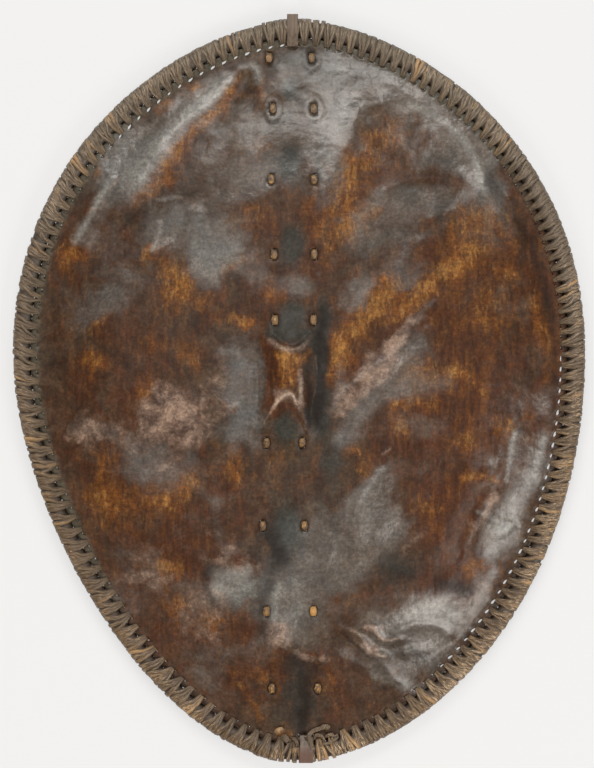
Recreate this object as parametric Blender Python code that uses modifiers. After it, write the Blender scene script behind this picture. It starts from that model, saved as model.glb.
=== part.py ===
"""Hide shield lying face up on its laced rim.

X runs across the shield, Y along it towards its top, Z out of its front.
The origin is the middle of the footprint, on the surface that the rim rests on.
Units are metres.
"""

import functools
import math

import bmesh
import bpy
import numpy as np

# Outline of the laced rim, seen from the front
SHIELD_WIDTH = 0.763
RIM_TOP_Y = 0.4913
RIM_BOTTOM_Y = -0.4975
RIM_TIP_X = -0.003
WIDEST_Y = 0.048
# How far each quarter's curve keeps its direction, from the tip and from the widest line
CURVE_TOP_RIGHT = (0.34, 0.68)
CURVE_BOTTOM_RIGHT = (0.40, 0.64)
CURVE_BOTTOM_LEFT = (0.48, 0.40)
CURVE_TOP_LEFT = (0.32, 0.68)
STATIONS = 54

# Rim: a bent rod wrapped with thong, which also grips the edge of the hide
LACING_RADIUS = 0.011
THONG_WALL = 0.0016
ROD_RADIUS = 0.009
LIP_INSET = 0.034
LIP_START_DEGREES = 60
FOOT_HALF_WIDTH = 0.003

# Hide: one thick skin, dished and with a hand boss
HIDE_THICKNESS = 0.005
HIDE_INSET = 0.024
HIDE_EDGE_Z = 0.014
FLANGE = 0.012
SHOULDER_RISE = 0.022
SHOULDER_SPAN = 0.30
CROWN_RISE = 0.042
HIDE_RINGS = 17
RING_CROWDING = 1.5

# Boss pushed out of the hide in front of the hand
BOSS_X = -0.011
BOSS_TOP_Y = 0.052
BOSS_CREST_Y = -0.007
BOSS_HALF_WIDTH = 0.042
BOSS_RISE = 0.024
BOSS_FLAT = 0.42
BOSS_HEAD_Y = 0.072
BOSS_FOOT_Y = -0.052
BOSS_END_RUN = 0.022
HUB = np.array((BOSS_X, 0.0))
UPPER_SCOOP_CURVE = 0.030
UPPER_SCOOP_RUN = 0.022
LOWER_SCOOP_DROP = 0.040
LOWER_SCOOP_HALF_WIDTH = 0.028
LOWER_SCOOP_RUN = 0.045

# Stave: height up the shield, middle, width and thickness of the bar there
STAVE_CONTROLS = (
    (0.500, -0.0087, 0.015, 0.0035),
    (0.455, -0.0087, 0.016, 0.0038),
    (0.400, -0.0080, 0.026, 0.0070),
    (0.250, -0.0075, 0.038, 0.0110),
    (0.100, -0.0080, 0.036, 0.0120),
    (0.010, -0.0130, 0.030, 0.0120),
    (-0.070, -0.0190, 0.034, 0.0120),
    (-0.200, -0.0200, 0.038, 0.0110),
    (-0.300, -0.0120, 0.036, 0.0100),
    (-0.400, -0.0050, 0.026, 0.0070),
    (-0.462, 0.0094, 0.019, 0.0038),
    (-0.500, 0.0094, 0.019, 0.0035),
)
STAVE_STEPS = 26
STAVE_CORNER = 0.25
GRIP_TOP_Y = 0.055
GRIP_BOTTOM_Y = -0.040
GRIP_RAMP = 0.035
GRIP_BOW = 0.014
GRIP_THICKNESS = 0.012
# The stave's end rides over the rim, then dives through the hide:
# distance in from the rim's outline, and height of the stave's underside there
TONGUE_CONTROLS = (
    (-0.020, 0.0228),
    (0.011, 0.0228),
    (0.018, 0.0210),
    (0.026, 0.0169),
    (0.033, 0.0123),
    (0.041, 0.0072),
    (0.048, 0.0062),
    (0.060, 0.0088),
)
SLOT_CLEARANCE = 0.0006
LIP_NOTCH_CLEARANCE = 0.0012

# Lashings: height up the shield, then the left and the right stitch's X
LASHINGS = (
    (0.442, -0.040, 0.017),
    (0.373, -0.035, 0.020),
    (0.278, -0.037, 0.020),
    (0.178, -0.033, 0.020),
    (0.091, -0.032, 0.019),
    (-0.072, -0.043, 0.004),
    (-0.182, -0.048, 0.007),
    (-0.296, -0.043, 0.019),
    (-0.400, -0.036, 0.025),
)
STITCH_LENGTH = 0.0115
THONG_WIDTH = 0.008
THONG_THICKNESS = 0.0026
THONG_CORNER = 0.0017
BAND_WIDTH = 0.0052
LEG_WIDTH = 0.0036
LEG_DEPTH = 0.0044
SLIT_WIDTH = 0.0090
SLIT_HEIGHT = 0.0040
# A flat strip's section, in shares of its half width and half thickness
STRIP_SECTION = ((1.0, -0.4), (1.0, 0.4), (0.7, 1.0), (-0.7, 1.0), (-1.0, 0.4), (-1.0, -0.4), (-0.7, -1.0),
                 (0.7, -1.0))

TOUCH_GAP = 0.0003
STAVE_GAP = 0.0016
CUT_REACH = 0.02
SHARP_DEGREES = 50

COLOURS = {
    "hide": ((0.075, 0.032, 0.018), 0.42),
    "lacing": ((0.16, 0.115, 0.072), 0.62),
    "rod": ((0.20, 0.12, 0.06), 0.70),
    "stave": ((0.17, 0.115, 0.07), 0.60),
    "thong": ((0.36, 0.22, 0.09), 0.55),
}


def smooth_step(low, high, value):
    t = np.clip((value - low) / (high - low), 0.0, 1.0)
    return t * t * (3.0 - 2.0 * t)


def smooth_curve(position, knots, values):
    """Catmull-Rom curve through values given at rising knots."""
    i = int(np.clip(np.searchsorted(knots, position) - 1, 0, len(knots) - 2))
    before, after = max(i - 1, 0), min(i + 2, len(knots) - 1)
    span = knots[i + 1] - knots[i]
    slope_in = (values[i + 1] - values[before]) / (knots[i + 1] - knots[before])
    slope_out = (values[after] - values[i]) / (knots[after] - knots[i])
    t = (position - knots[i]) / span
    return ((2 * t ** 3 - 3 * t ** 2 + 1) * values[i] + (t ** 3 - 2 * t ** 2 + t) * span * slope_in
            + (3 * t ** 2 - 2 * t ** 3) * values[i + 1] + (t ** 3 - t ** 2) * span * slope_out)


# ---- outline and heights

def quarter_curve(tip_y, side_x, handles, steps=64):
    """Points of one quarter of the outline, from its tip to its widest place."""
    tip = np.array((RIM_TIP_X, tip_y))
    side = np.array((side_x, WIDEST_Y))
    tip_handle = np.array((tip[0] + handles[0] * (side[0] - tip[0]), tip[1]))
    side_handle = np.array((side[0], side[1] + handles[1] * (tip[1] - side[1])))
    t = np.linspace(0.0, 1.0, steps)[:, None]
    return ((1 - t) ** 3 * tip + 3 * (1 - t) ** 2 * t * tip_handle
            + 3 * (1 - t) * t ** 2 * side_handle + t ** 3 * side)


@functools.lru_cache(maxsize=None)
def outline(count):
    """Evenly spaced points of the rim's outline, clockwise from its top, and their inward normals."""
    half = SHIELD_WIDTH / 2
    quarters = (quarter_curve(RIM_TOP_Y, half, CURVE_TOP_RIGHT)[:-1],
                quarter_curve(RIM_BOTTOM_Y, half, CURVE_BOTTOM_RIGHT)[:0:-1],
                quarter_curve(RIM_BOTTOM_Y, -half, CURVE_BOTTOM_LEFT)[:-1],
                quarter_curve(RIM_TOP_Y, -half, CURVE_TOP_LEFT)[::-1])
    dense = np.vstack(quarters)
    steps = np.linalg.norm(np.diff(dense, axis=0), axis=1)
    length = np.concatenate(([0.0], np.cumsum(steps)))
    wanted = np.arange(count) * length[-1] / count
    points = np.column_stack([np.interp(wanted, length, dense[:, axis]) for axis in (0, 1)])
    along = np.roll(points, -1, axis=0) - np.roll(points, 1, axis=0)
    along /= np.linalg.norm(along, axis=1)[:, None]
    inward = np.column_stack((along[:, 1], -along[:, 0]))
    return points, inward


def inset_outline(inset):
    points, inward = outline(STATIONS)
    return points + inset * inward


@functools.lru_cache(maxsize=None)
def dish_reach():
    """Directions from the hub, and how far the dished part reaches in each."""
    ring = inset_outline(HIDE_INSET + FLANGE) - HUB
    return np.arctan2(ring[:, 1], ring[:, 0]), np.linalg.norm(ring, axis=1)


def dish_fraction(x, y):
    """0 at the hub, 1 where the dished part meets the flat laced edge."""
    aside, along = x - HUB[0], y - HUB[1]
    angles, reach = dish_reach()
    return math.hypot(aside, along) / np.interp(math.atan2(along, aside), angles, reach, period=math.tau)


def dish_rise(fraction):
    depth = 1.0 - min(fraction, 1.0)
    return SHOULDER_RISE * smooth_step(0.0, SHOULDER_SPAN, depth) + CROWN_RISE * (1 - (1 - depth) ** 2)


def boss_rise(x, y):
    """A block with steep sides, scooped out above and below."""
    aside = x - BOSS_X
    sides = 1.0 - smooth_step(BOSS_FLAT, 1.0, abs(aside) / BOSS_HALF_WIDTH)
    top_y = BOSS_TOP_Y + aside ** 2 / UPPER_SCOOP_CURVE
    upper = 1.0 - smooth_step(top_y - UPPER_SCOOP_RUN / 2, top_y + UPPER_SCOOP_RUN / 2, y)
    crest_y = BOSS_CREST_Y - LOWER_SCOOP_DROP * (abs(aside) / LOWER_SCOOP_HALF_WIDTH) ** 1.5
    lower = smooth_step(crest_y - LOWER_SCOOP_RUN, crest_y, y)
    head = 1.0 - smooth_step(BOSS_HEAD_Y - BOSS_END_RUN / 2, BOSS_HEAD_Y + BOSS_END_RUN / 2, y)
    foot = smooth_step(BOSS_FOOT_Y - BOSS_END_RUN / 2, BOSS_FOOT_Y + BOSS_END_RUN / 2, y)
    return BOSS_RISE * sides * upper * lower * head * foot


def hide_middle_z(x, y, with_boss=True):
    """Height of the middle of the hide's thickness."""
    z = HIDE_EDGE_Z + dish_rise(dish_fraction(x, y))
    return z + boss_rise(x, y) if with_boss else z


# ---- mesh helpers

def link(obj, group, material):
    for owner in list(obj.users_collection):
        owner.objects.unlink(obj)
    group.objects.link(obj)
    if material is not None:
        obj.data.materials.clear()
        obj.data.materials.append(material)


def object_from_bmesh(name, bm, group, material=None):
    bmesh.ops.recalc_face_normals(bm, faces=bm.faces[:])
    mesh = bpy.data.meshes.new(name)
    bm.to_mesh(mesh)
    bm.free()
    mesh.shade_smooth()
    mesh.set_sharp_from_angle(angle=math.radians(SHARP_DEGREES))
    obj = bpy.data.objects.new(name, mesh)
    link(obj, group, material)
    return obj


def loft(name, sections, group, material=None):
    """Skin closed sections of equal point count and cap both ends."""
    bm = bmesh.new()
    rings = [[bm.verts.new(point) for point in section] for section in sections]
    for first, second in zip(rings, rings[1:]):
        for i in range(len(first)):
            j = (i + 1) % len(first)
            bm.faces.new((first[i], first[j], second[j], second[i]))
    bm.faces.new(rings[0])
    bm.faces.new(rings[-1])
    return object_from_bmesh(name, bm, group, material)


def mesh_from_curve(curve_object, group, material):
    """Turn a curve object into a closed mesh of the same name."""
    name = curve_object.name
    curve_object.name = name + "_curve"
    depsgraph = bpy.context.evaluated_depsgraph_get()
    mesh = bpy.data.meshes.new_from_object(curve_object.evaluated_get(depsgraph))
    bm = bmesh.new()
    bm.from_mesh(mesh)
    bmesh.ops.remove_doubles(bm, verts=bm.verts[:], dist=0.00001)
    obj = object_from_bmesh(name, bm, group, material)
    obj.matrix_world = curve_object.matrix_world
    bpy.data.objects.remove(curve_object)
    bpy.data.meshes.remove(mesh)
    return obj


def closed_path(name, points, group):
    data = bpy.data.curves.new(name, "CURVE")
    data.dimensions = "3D"
    data.twist_mode = "Z_UP"
    data.render_resolution_u = 0
    spline = data.splines.new("POLY")
    spline.points.add(len(points) - 1)
    for target, point in zip(spline.points, points):
        target.co = (point[0], point[1], point[2], 1.0)
    spline.use_cyclic_u = True
    obj = bpy.data.objects.new(name, data)
    group.objects.link(obj)
    return obj


def cut(target, cutters):
    for cutter in cutters:
        modifier = target.modifiers.new(cutter.name, "BOOLEAN")
        modifier.operation = "DIFFERENCE"
        modifier.solver = "EXACT"
        modifier.object = cutter


def as_cutter(obj, group):
    link(obj, group, None)
    obj.display_type = "WIRE"
    obj.hide_render = True
    return obj


def make_material(name):
    colour, roughness = COLOURS[name]
    material = bpy.data.materials.new(name)
    material.use_nodes = True
    shader = material.node_tree.nodes["Principled BSDF"]
    shader.inputs["Base Color"].default_value = (*colour, 1.0)
    shader.inputs["Roughness"].default_value = roughness
    shader.inputs["Metallic"].default_value = 0.0
    material.diffuse_color = (*colour, 1.0)
    return material


# ---- stave

def stave_row(y):
    """Middle X, width and thickness of the stave at a height up the shield."""
    rows = np.array(STAVE_CONTROLS[::-1])
    return [smooth_curve(y, rows[:, 0], rows[:, column]) for column in (1, 2, 3)]


def stave_underside(y):
    """Height of the stave's back face."""
    middle, width, thickness = stave_row(y)
    inset = min(RIM_TOP_Y - y, y - RIM_BOTTOM_Y)
    controls = np.array(TONGUE_CONTROLS)
    sides = (middle - width / 2, middle, middle + width / 2)
    behind_hide = (min(hide_middle_z(x, y, False) for x in sides)
                   - HIDE_THICKNESS / 2 - STAVE_GAP - thickness)
    grip = (smooth_step(GRIP_BOTTOM_Y - GRIP_RAMP, GRIP_BOTTOM_Y, y)
            * (1.0 - smooth_step(GRIP_TOP_Y, GRIP_TOP_Y + GRIP_RAMP, y)))
    grip_z = HIDE_EDGE_Z + SHOULDER_RISE + CROWN_RISE - HIDE_THICKNESS / 2 - GRIP_BOW - GRIP_THICKNESS
    behind_hide = behind_hide + grip * (grip_z - behind_hide)
    tongue = smooth_curve(min(inset, controls[-1, 0]), controls[:, 0], controls[:, 1])
    return tongue + smooth_step(controls[-2, 0], controls[-1, 0], inset) * (behind_hide - tongue)


def stave_section(y, clearance=0.0):
    """A flat bar's section across the shield, with its corners taken off."""
    middle, width, thickness = stave_row(y)
    half = width / 2 + clearance
    low = stave_underside(y) - clearance
    high = low + thickness + 2 * clearance
    corner = STAVE_CORNER * thickness
    return [(middle - half + corner, y, low), (middle + half - corner, y, low),
            (middle + half, y, low + corner), (middle + half, y, high - corner),
            (middle + half - corner, y, high), (middle - half + corner, y, high),
            (middle - half, y, high - corner), (middle - half, y, low + corner)]


def bend_insets():
    """Distances in from the rim's outline for sections where the stave's end bends."""
    knots = [inset for inset, _ in TONGUE_CONTROLS[1:]]
    between = [(near + far) / 2 for near, far in zip(knots[1:], knots[2:])]
    return sorted(knots + between)


def stave_heights():
    """Heights for the sections: close together at the bent ends, and one flat face at the grip."""
    insets = bend_insets()
    top, bottom = STAVE_CONTROLS[0][0], STAVE_CONTROLS[-1][0]
    ends = [top, bottom] + [RIM_TOP_Y - inset for inset in insets]
    ends += [RIM_BOTTOM_Y + inset for inset in insets]
    middle = np.linspace(RIM_BOTTOM_Y + insets[-1], RIM_TOP_Y - insets[-1], STAVE_STEPS)[1:-1]
    ramp_ends = (GRIP_BOTTOM_Y - GRIP_RAMP, GRIP_TOP_Y + GRIP_RAMP)
    middle = [y for y in middle if y < ramp_ends[0] or y > ramp_ends[1]]
    half_way = [GRIP_BOTTOM_Y - GRIP_RAMP / 2, GRIP_TOP_Y + GRIP_RAMP / 2]
    return sorted(ends + middle + half_way + [*ramp_ends, GRIP_BOTTOM_Y, GRIP_TOP_Y])


def stave_back_z(y):
    """Height of the stave's back face between its sections."""
    heights = stave_heights()
    return float(np.interp(y, heights, [stave_underside(height) for height in heights]))


def make_stave(group, material):
    return loft("stave", [stave_section(y) for y in stave_heights()], group, material)


def slot_cutter(name, rim_y, towards, group):
    """The space that the stave's end takes where it passes through the hide."""
    insets = [inset for inset in bend_insets() if inset > LACING_RADIUS + ROD_RADIUS]
    sections = [stave_section(rim_y + towards * inset, SLOT_CLEARANCE) for inset in insets]
    return as_cutter(loft(name, sections, group), group)


def lip_notch(name, rim_y, towards, group):
    """A gap in the lacing's lips beside the stave's end."""
    middle, width, _ = stave_row(rim_y + towards * LIP_INSET)
    near = LACING_RADIUS * (1 + math.cos(math.radians(LIP_START_DEGREES)))
    far = LIP_INSET + CUT_REACH
    bpy.ops.mesh.primitive_cube_add(size=1.0)
    obj = bpy.context.object
    obj.name = name
    obj.scale = (width + 2 * LIP_NOTCH_CLEARANCE, far - near, 4 * LACING_RADIUS)
    obj.location = (middle, rim_y + towards * (near + far) / 2, LACING_RADIUS)
    return as_cutter(obj, group)


# ---- hide

def make_hide(group, material):
    """The dished skin: rings of points from its cut edge to the middle of the boss."""
    edge = inset_outline(HIDE_INSET)
    flange_end = inset_outline(HIDE_INSET + FLANGE)
    fractions = (1.0 - np.arange(HIDE_RINGS) / HIDE_RINGS) ** RING_CROWDING
    rings = [edge] + [HUB + fraction * (flange_end - HUB) for fraction in fractions]
    bm = bmesh.new()
    loops = [[bm.verts.new((x, y, hide_middle_z(x, y))) for x, y in ring] for ring in rings]
    for outer, inner in zip(loops, loops[1:]):
        for i in range(STATIONS):
            j = (i + 1) % STATIONS
            bm.faces.new((outer[j], outer[i], inner[i], inner[j]))
    middle = bm.verts.new((*HUB, hide_middle_z(*HUB)))
    for i in range(STATIONS):
        bm.faces.new((loops[-1][(i + 1) % STATIONS], loops[-1][i], middle))
    obj = object_from_bmesh("hide", bm, group, material)
    shell = obj.modifiers.new("thickness", "SOLIDIFY")
    shell.thickness = HIDE_THICKNESS
    shell.offset = 0.0
    shell.use_even_offset = True
    return obj


def slit(name, x, y, group):
    bpy.ops.mesh.primitive_cube_add(size=1.0)
    obj = bpy.context.object
    obj.name = name
    obj.scale = (SLIT_WIDTH, SLIT_HEIGHT, 2 * CUT_REACH)
    obj.location = (x, y, hide_middle_z(x, y))
    return as_cutter(obj, group)


# ---- rim

def rim_path(name, group):
    points = inset_outline(LACING_RADIUS)
    return closed_path(name, [(x, y, LACING_RADIUS) for x, y in points], group)


def make_rod(group, material):
    obj = rim_path("rim_rod", group)
    obj.data.bevel_depth = ROD_RADIUS
    obj.data.bevel_resolution = 2
    return mesh_from_curve(obj, group, material)


def lacing_profile():
    """Section of the wrapped thong: round the rod, with a lip on each face of the hide."""
    outer_angles = np.radians((90, 135, 180, 225))
    inner_angles = np.radians((315, 270, 225, 180, 135, 90, 45))
    front = HIDE_EDGE_Z + HIDE_THICKNESS / 2 + TOUCH_GAP - LACING_RADIUS
    back = HIDE_EDGE_Z - HIDE_THICKNESS / 2 - TOUCH_GAP - LACING_RADIUS
    lip = LIP_INSET - LACING_RADIUS
    inner_radius = LACING_RADIUS - THONG_WALL
    lip_start = math.radians(LIP_START_DEGREES)
    shoulder = LACING_RADIUS * math.cos(lip_start), LACING_RADIUS * math.sin(lip_start)
    points = [(lip, front + THONG_WALL), shoulder]
    points += [(LACING_RADIUS * math.cos(a), LACING_RADIUS * math.sin(a)) for a in outer_angles]
    points += [(-FOOT_HALF_WIDTH, -LACING_RADIUS), (FOOT_HALF_WIDTH, -LACING_RADIUS)]
    points += [(lip, back - THONG_WALL), (lip, back)]
    points += [(inner_radius * math.cos(a), inner_radius * math.sin(a)) for a in inner_angles]
    return points + [(lip, front)]


def make_lacing(group, cutter_group, material):
    profile = closed_path("lacing_profile", [(x, y, 0.0) for x, y in lacing_profile()], cutter_group)
    profile.data.dimensions = "2D"
    obj = rim_path("rim_lacing", group)
    obj.data.bevel_mode = "OBJECT"
    obj.data.bevel_object = profile
    obj = mesh_from_curve(obj, group, material)
    bpy.data.objects.remove(profile)
    return obj


# ---- lashings

def strip_ring(middle, half_width, half_thickness):
    return [middle + u * half_width + v * half_thickness for u, v in STRIP_SECTION]


def thong_face_z(x, y):
    """Height of the middle of a thong that lies on the front of the hide."""
    half = THONG_WIDTH / 2
    skin = max(hide_middle_z(x + side * half, y) for side in (-1, 0, 1))
    return skin + HIDE_THICKNESS / 2 + THONG_THICKNESS / 2 + 3 * TOUCH_GAP


def thong_back_z(row):
    """Height of the middle of a band that lies on the back of the stave."""
    rows = (row - BAND_WIDTH / 2, row, row + BAND_WIDTH / 2)
    return min(stave_back_z(y) for y in rows) - THONG_THICKNESS / 2 - 3 * TOUCH_GAP


def thong_leg(x, y, side, level):
    """Rings from a stitch's end, down through its slit, to the start of a band behind the stave."""
    x_axis, y_axis, z_axis = np.eye(3)
    row, corner = y + level * STITCH_LENGTH / 2, THONG_CORNER
    front, back = thong_face_z(x, row), thong_back_z(row)
    start = row - level * corner
    under = hide_middle_z(x, row) - HIDE_THICKNESS / 2 - 3 * TOUCH_GAP
    foot = LEG_WIDTH / 2 + 2 * TOUCH_GAP
    wide, thin = side * x_axis * THONG_WIDTH / 2, THONG_THICKNESS / 2
    across, narrow = level * y_axis, side * x_axis * LEG_WIDTH / 2
    halfway = math.sqrt(0.5)
    return [
        strip_ring(np.array((x, start, thong_face_z(x, start))), wide, z_axis * thin),
        strip_ring(np.array((x, row - level * 0.3 * corner, front - 0.3 * corner)), wide,
                   (z_axis + across) * halfway * thin),
        strip_ring(np.array((x, row, front - corner)), wide, across * thin),
        strip_ring(np.array((x, row, under)), wide, across * thin),
        strip_ring(np.array((x, row, back + foot)), narrow, across * LEG_DEPTH / 2),
        strip_ring(np.array((x + side * 0.3 * foot, row, back + 0.3 * foot)),
                   (narrow + z_axis * thin) * halfway, across * (LEG_DEPTH + BAND_WIDTH) / 4),
        strip_ring(np.array((x + side * foot, row, back)), z_axis * thin, across * BAND_WIDTH / 2),
    ]


def make_lashing(name, y, left, right, group, material):
    """One thong through four slits: two stitches on the face, two bands across the stave's back."""
    x_axis, _, z_axis = np.eye(3)
    rings = []
    for x, side in ((left, 1), (right, -1)):
        first, last = (thong_leg(x, y, side, level) for level in (side, -side))
        middle = np.array((x, y, thong_face_z(x, y) + TOUCH_GAP))
        stitch = strip_ring(middle, side * x_axis * THONG_WIDTH / 2, z_axis * THONG_THICKNESS / 2)
        rings += first[::-1] + [stitch] + last
    bm = bmesh.new()
    loops = [[bm.verts.new(point) for point in ring] for ring in rings]
    for ring, following in zip(loops, loops[1:] + loops[:1]):
        for i in range(len(ring)):
            j = (i + 1) % len(ring)
            bm.faces.new((ring[i], ring[j], following[j], following[i]))
    return object_from_bmesh(name, bm, group, material)


# ---- assembly

def clear_scene():
    for obj in list(bpy.data.objects):
        bpy.data.objects.remove(obj, do_unlink=True)


def new_collection(name):
    group = bpy.data.collections.new(name)
    bpy.context.scene.collection.children.link(group)
    return group


def build():
    clear_scene()
    parts = new_collection("hide_shield")
    cutters = new_collection("cutters")
    materials = {name: make_material(name) for name in COLOURS}

    hide = make_hide(parts, materials["hide"])
    make_rod(parts, materials["rod"])
    lacing = make_lacing(parts, cutters, materials["lacing"])
    make_stave(parts, materials["stave"])

    ends = (("top", RIM_TOP_Y, -1.0), ("bottom", RIM_BOTTOM_Y, 1.0))
    slots = [slot_cutter("slot_" + end, rim_y, towards, cutters) for end, rim_y, towards in ends]
    notches = [lip_notch("notch_" + end, rim_y, towards, cutters) for end, rim_y, towards in ends]

    slits = []
    for number, (y, left, right) in enumerate(LASHINGS, start=1):
        make_lashing(f"stave_lashing_{number}", y, left, right, parts, materials["thong"])
        for x in (left, right):
            for row in (y + STITCH_LENGTH / 2, y - STITCH_LENGTH / 2):
                slits.append(slit(f"slit_{len(slits) + 1}", x, row, cutters))

    cut(hide, slots + slits)
    cut(lacing, notches)


build()
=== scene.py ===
import math

import bmesh
import bpy
import numpy as np
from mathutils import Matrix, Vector, kdtree
from mathutils.geometry import delaunay_2d_cdt


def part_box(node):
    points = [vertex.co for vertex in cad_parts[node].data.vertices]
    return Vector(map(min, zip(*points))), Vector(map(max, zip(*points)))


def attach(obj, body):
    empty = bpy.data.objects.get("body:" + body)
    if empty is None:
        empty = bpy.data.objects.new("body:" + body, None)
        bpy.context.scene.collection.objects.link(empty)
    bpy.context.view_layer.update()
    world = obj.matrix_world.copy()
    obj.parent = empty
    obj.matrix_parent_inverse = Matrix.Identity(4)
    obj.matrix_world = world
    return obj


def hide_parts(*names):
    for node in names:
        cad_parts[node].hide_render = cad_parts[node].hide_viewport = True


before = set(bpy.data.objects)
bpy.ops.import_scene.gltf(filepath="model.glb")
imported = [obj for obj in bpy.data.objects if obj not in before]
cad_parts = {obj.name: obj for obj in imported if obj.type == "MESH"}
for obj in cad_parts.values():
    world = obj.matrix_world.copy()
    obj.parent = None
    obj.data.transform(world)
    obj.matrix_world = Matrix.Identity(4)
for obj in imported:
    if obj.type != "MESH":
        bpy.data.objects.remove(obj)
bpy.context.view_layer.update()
body = "root"


# helpers for node trees

def put(tree, kind, inputs=None, **settings):
    # adds a node, sets its fields, then fills its sockets with values or links
    node = tree.nodes.new(kind)
    for field, value in settings.items():
        setattr(node, field, value)
    for socket, value in (inputs or {}).items():
        if isinstance(value, bpy.types.NodeSocket):
            tree.links.new(value, node.inputs[socket])
        else:
            node.inputs[socket].default_value = value
    return node


def sums(tree, operation, *values, clamp=False):
    node = put(tree, "ShaderNodeMath", dict(enumerate(values)), operation=operation, use_clamp=clamp)
    return node.outputs[0]


def product(tree, *values, clamp=False):
    return sums(tree, "MULTIPLY", *values, clamp=clamp)


def vectorSums(tree, operation, *values):
    return put(tree, "ShaderNodeVectorMath", dict(enumerate(values)), operation=operation).outputs[0]


def stretch(tree, vector, amount):
    return put(tree, "ShaderNodeVectorMath", {0: vector, 3: amount}, operation="SCALE").outputs[0]


def vectorOf(tree, **axes):
    return put(tree, "ShaderNodeCombineXYZ", axes).outputs[0]


def axisOf(tree, vector, axis):
    return put(tree, "ShaderNodeSeparateXYZ", {0: vector}).outputs[axis]


def ramp(tree, value, fromLow, fromHigh, toLow=0.0, toHigh=1.0, smooth=False):
    kind = "SMOOTHSTEP" if smooth else "LINEAR"
    places = {0: value, 1: fromLow, 2: fromHigh, 3: toLow, 4: toHigh}
    return put(tree, "ShaderNodeMapRange", places, interpolation_type=kind).outputs[0]


def mixed(tree, factor, *colours):
    first, second = ((*colour, 1.0) if isinstance(colour, tuple) else colour for colour in colours)
    return put(tree, "ShaderNodeMix", {0: factor, 6: first, 7: second}, data_type="RGBA").outputs[2]


def noise(tree, vector, scale, detail=2.0, roughness=0.5, distortion=0.0):
    return put(tree, "ShaderNodeTexNoise", {"Vector": vector, "Scale": scale, "Detail": detail,
                                            "Roughness": roughness, "Distortion": distortion}).outputs["Fac"]


def newGroup(kind, name, inputs, outputs):
    # inputs are label: starting value, or the kind of a socket without one; outputs are label: kind
    tree = bpy.data.node_groups.new(name, kind)
    kinds = {bool: "Bool", int: "Int", float: "Float"}
    for label, start in inputs.items():
        socketKind = start if isinstance(start, str) else kinds[type(start)]
        socket = tree.interface.new_socket(label, in_out="INPUT", socket_type="NodeSocket" + socketKind)
        if not isinstance(start, str):
            socket.default_value = start
    for label, socketKind in outputs.items():
        tree.interface.new_socket(label, in_out="OUTPUT", socket_type="NodeSocket" + socketKind)
    return tree, tree.nodes.new("NodeGroupInput").outputs, tree.nodes.new("NodeGroupOutput").inputs


def useGroup(tree, group, inputs):
    kind = "ShaderNodeGroup" if tree.bl_idname == "ShaderNodeTree" else "GeometryNodeGroup"
    return put(tree, kind, inputs, node_tree=group).outputs


def stored(tree, geometry, name, value, kind="FLOAT"):
    inputs = {"Geometry": geometry, "Name": name, "Value": value}
    return put(tree, "GeometryNodeStoreNamedAttribute", inputs, data_type=kind).outputs[0]


def named(tree, name, kind="FLOAT"):
    return put(tree, "GeometryNodeInputNamedAttribute", {"Name": name}, data_type=kind).outputs[0]


def endTree(tree, geometry, material, result):
    real = put(tree, "GeometryNodeRealizeInstances", {0: geometry}).outputs[0]
    final = put(tree, "GeometryNodeSetMaterial", {"Geometry": real, "Material": material}).outputs[0]
    tree.links.new(final, result["Mesh"])
    return tree


def grow(name, source, tree, values):
    # runs a Geometry Nodes tree on an object and keeps the result as a plain mesh
    modifier = source.modifiers.new(tree.name, "NODES")
    modifier.node_group = tree
    for item in tree.interface.items_tree:
        if item.item_type == "SOCKET" and item.in_out == "INPUT" and item.name in values:
            modifier[item.identifier] = values[item.name]
    bpy.context.view_layer.update()
    depsgraph = bpy.context.evaluated_depsgraph_get()
    mesh = bpy.data.meshes.new_from_object(source.evaluated_get(depsgraph), depsgraph=depsgraph)
    mesh.name = name
    source.modifiers.remove(modifier)
    return placed(name, mesh)


# helpers for shapes

def placed(name, data):
    piece = bpy.data.objects.new(name, data)
    bpy.context.scene.collection.objects.link(piece)
    return piece


def smoothStep(low, high, value):
    t = np.clip((value - low) / (high - low), 0.0, 1.0)
    return t * t * (3.0 - 2.0 * t)


def smoothLoop(points, steps):
    # closed Catmull-Rom curve through the points
    p0, p1, p2, p3 = (np.roll(points, shift, axis=0)[:, None, :] for shift in (1, 0, -1, -2))
    t = (np.arange(steps) / steps)[None, :, None]
    curve = 0.5 * (2 * p1 + (p2 - p0) * t + (2 * p0 - 5 * p1 + 4 * p2 - p3) * t ** 2
                   + (3 * p1 - p0 - 3 * p2 + p3) * t ** 3)
    return curve.reshape(-1, points.shape[1])


def smoothRun(points, steps):
    # open Catmull-Rom curve through the points
    ends = np.vstack((2 * points[0] - points[1], points, 2 * points[-1] - points[-2]))
    curve = smoothLoop(ends, steps).reshape(len(ends), steps, -1)[1:-2].reshape(-1, points.shape[1])
    return np.vstack((curve, points[-1]))


def cloud(x, y, cell, seed, octaves=2):
    # seeded gradient noise, about -1 to 1
    total = np.zeros_like(x)
    for octave in range(octaves):
        lean = np.random.default_rng(seed + octave).uniform(0.0, math.tau, (64, 64))
        turn, size = 0.7 + 0.9 * octave, cell / 2 ** octave
        u = (x * math.cos(turn) - y * math.sin(turn)) / size + 500.3
        v = (x * math.sin(turn) + y * math.cos(turn)) / size + 500.7
        column, row = np.floor(u).astype(int), np.floor(v).astype(int)
        u, v = u - column, v - row

        def corner(right, up):
            slope = lean[(column + right) % 64, (row + up) % 64]
            return np.cos(slope) * (u - right) + np.sin(slope) * (v - up)

        fadeU, fadeV = (t ** 3 * (t * (6 * t - 15) + 10) for t in (u, v))
        low = corner(0, 0) * (1 - fadeU) + corner(1, 0) * fadeU
        high = corner(0, 1) * (1 - fadeU) + corner(1, 1) * fadeU
        total += (low * (1 - fadeV) + high * fadeV) * 1.5 * 0.5 ** octave
    return total


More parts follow.
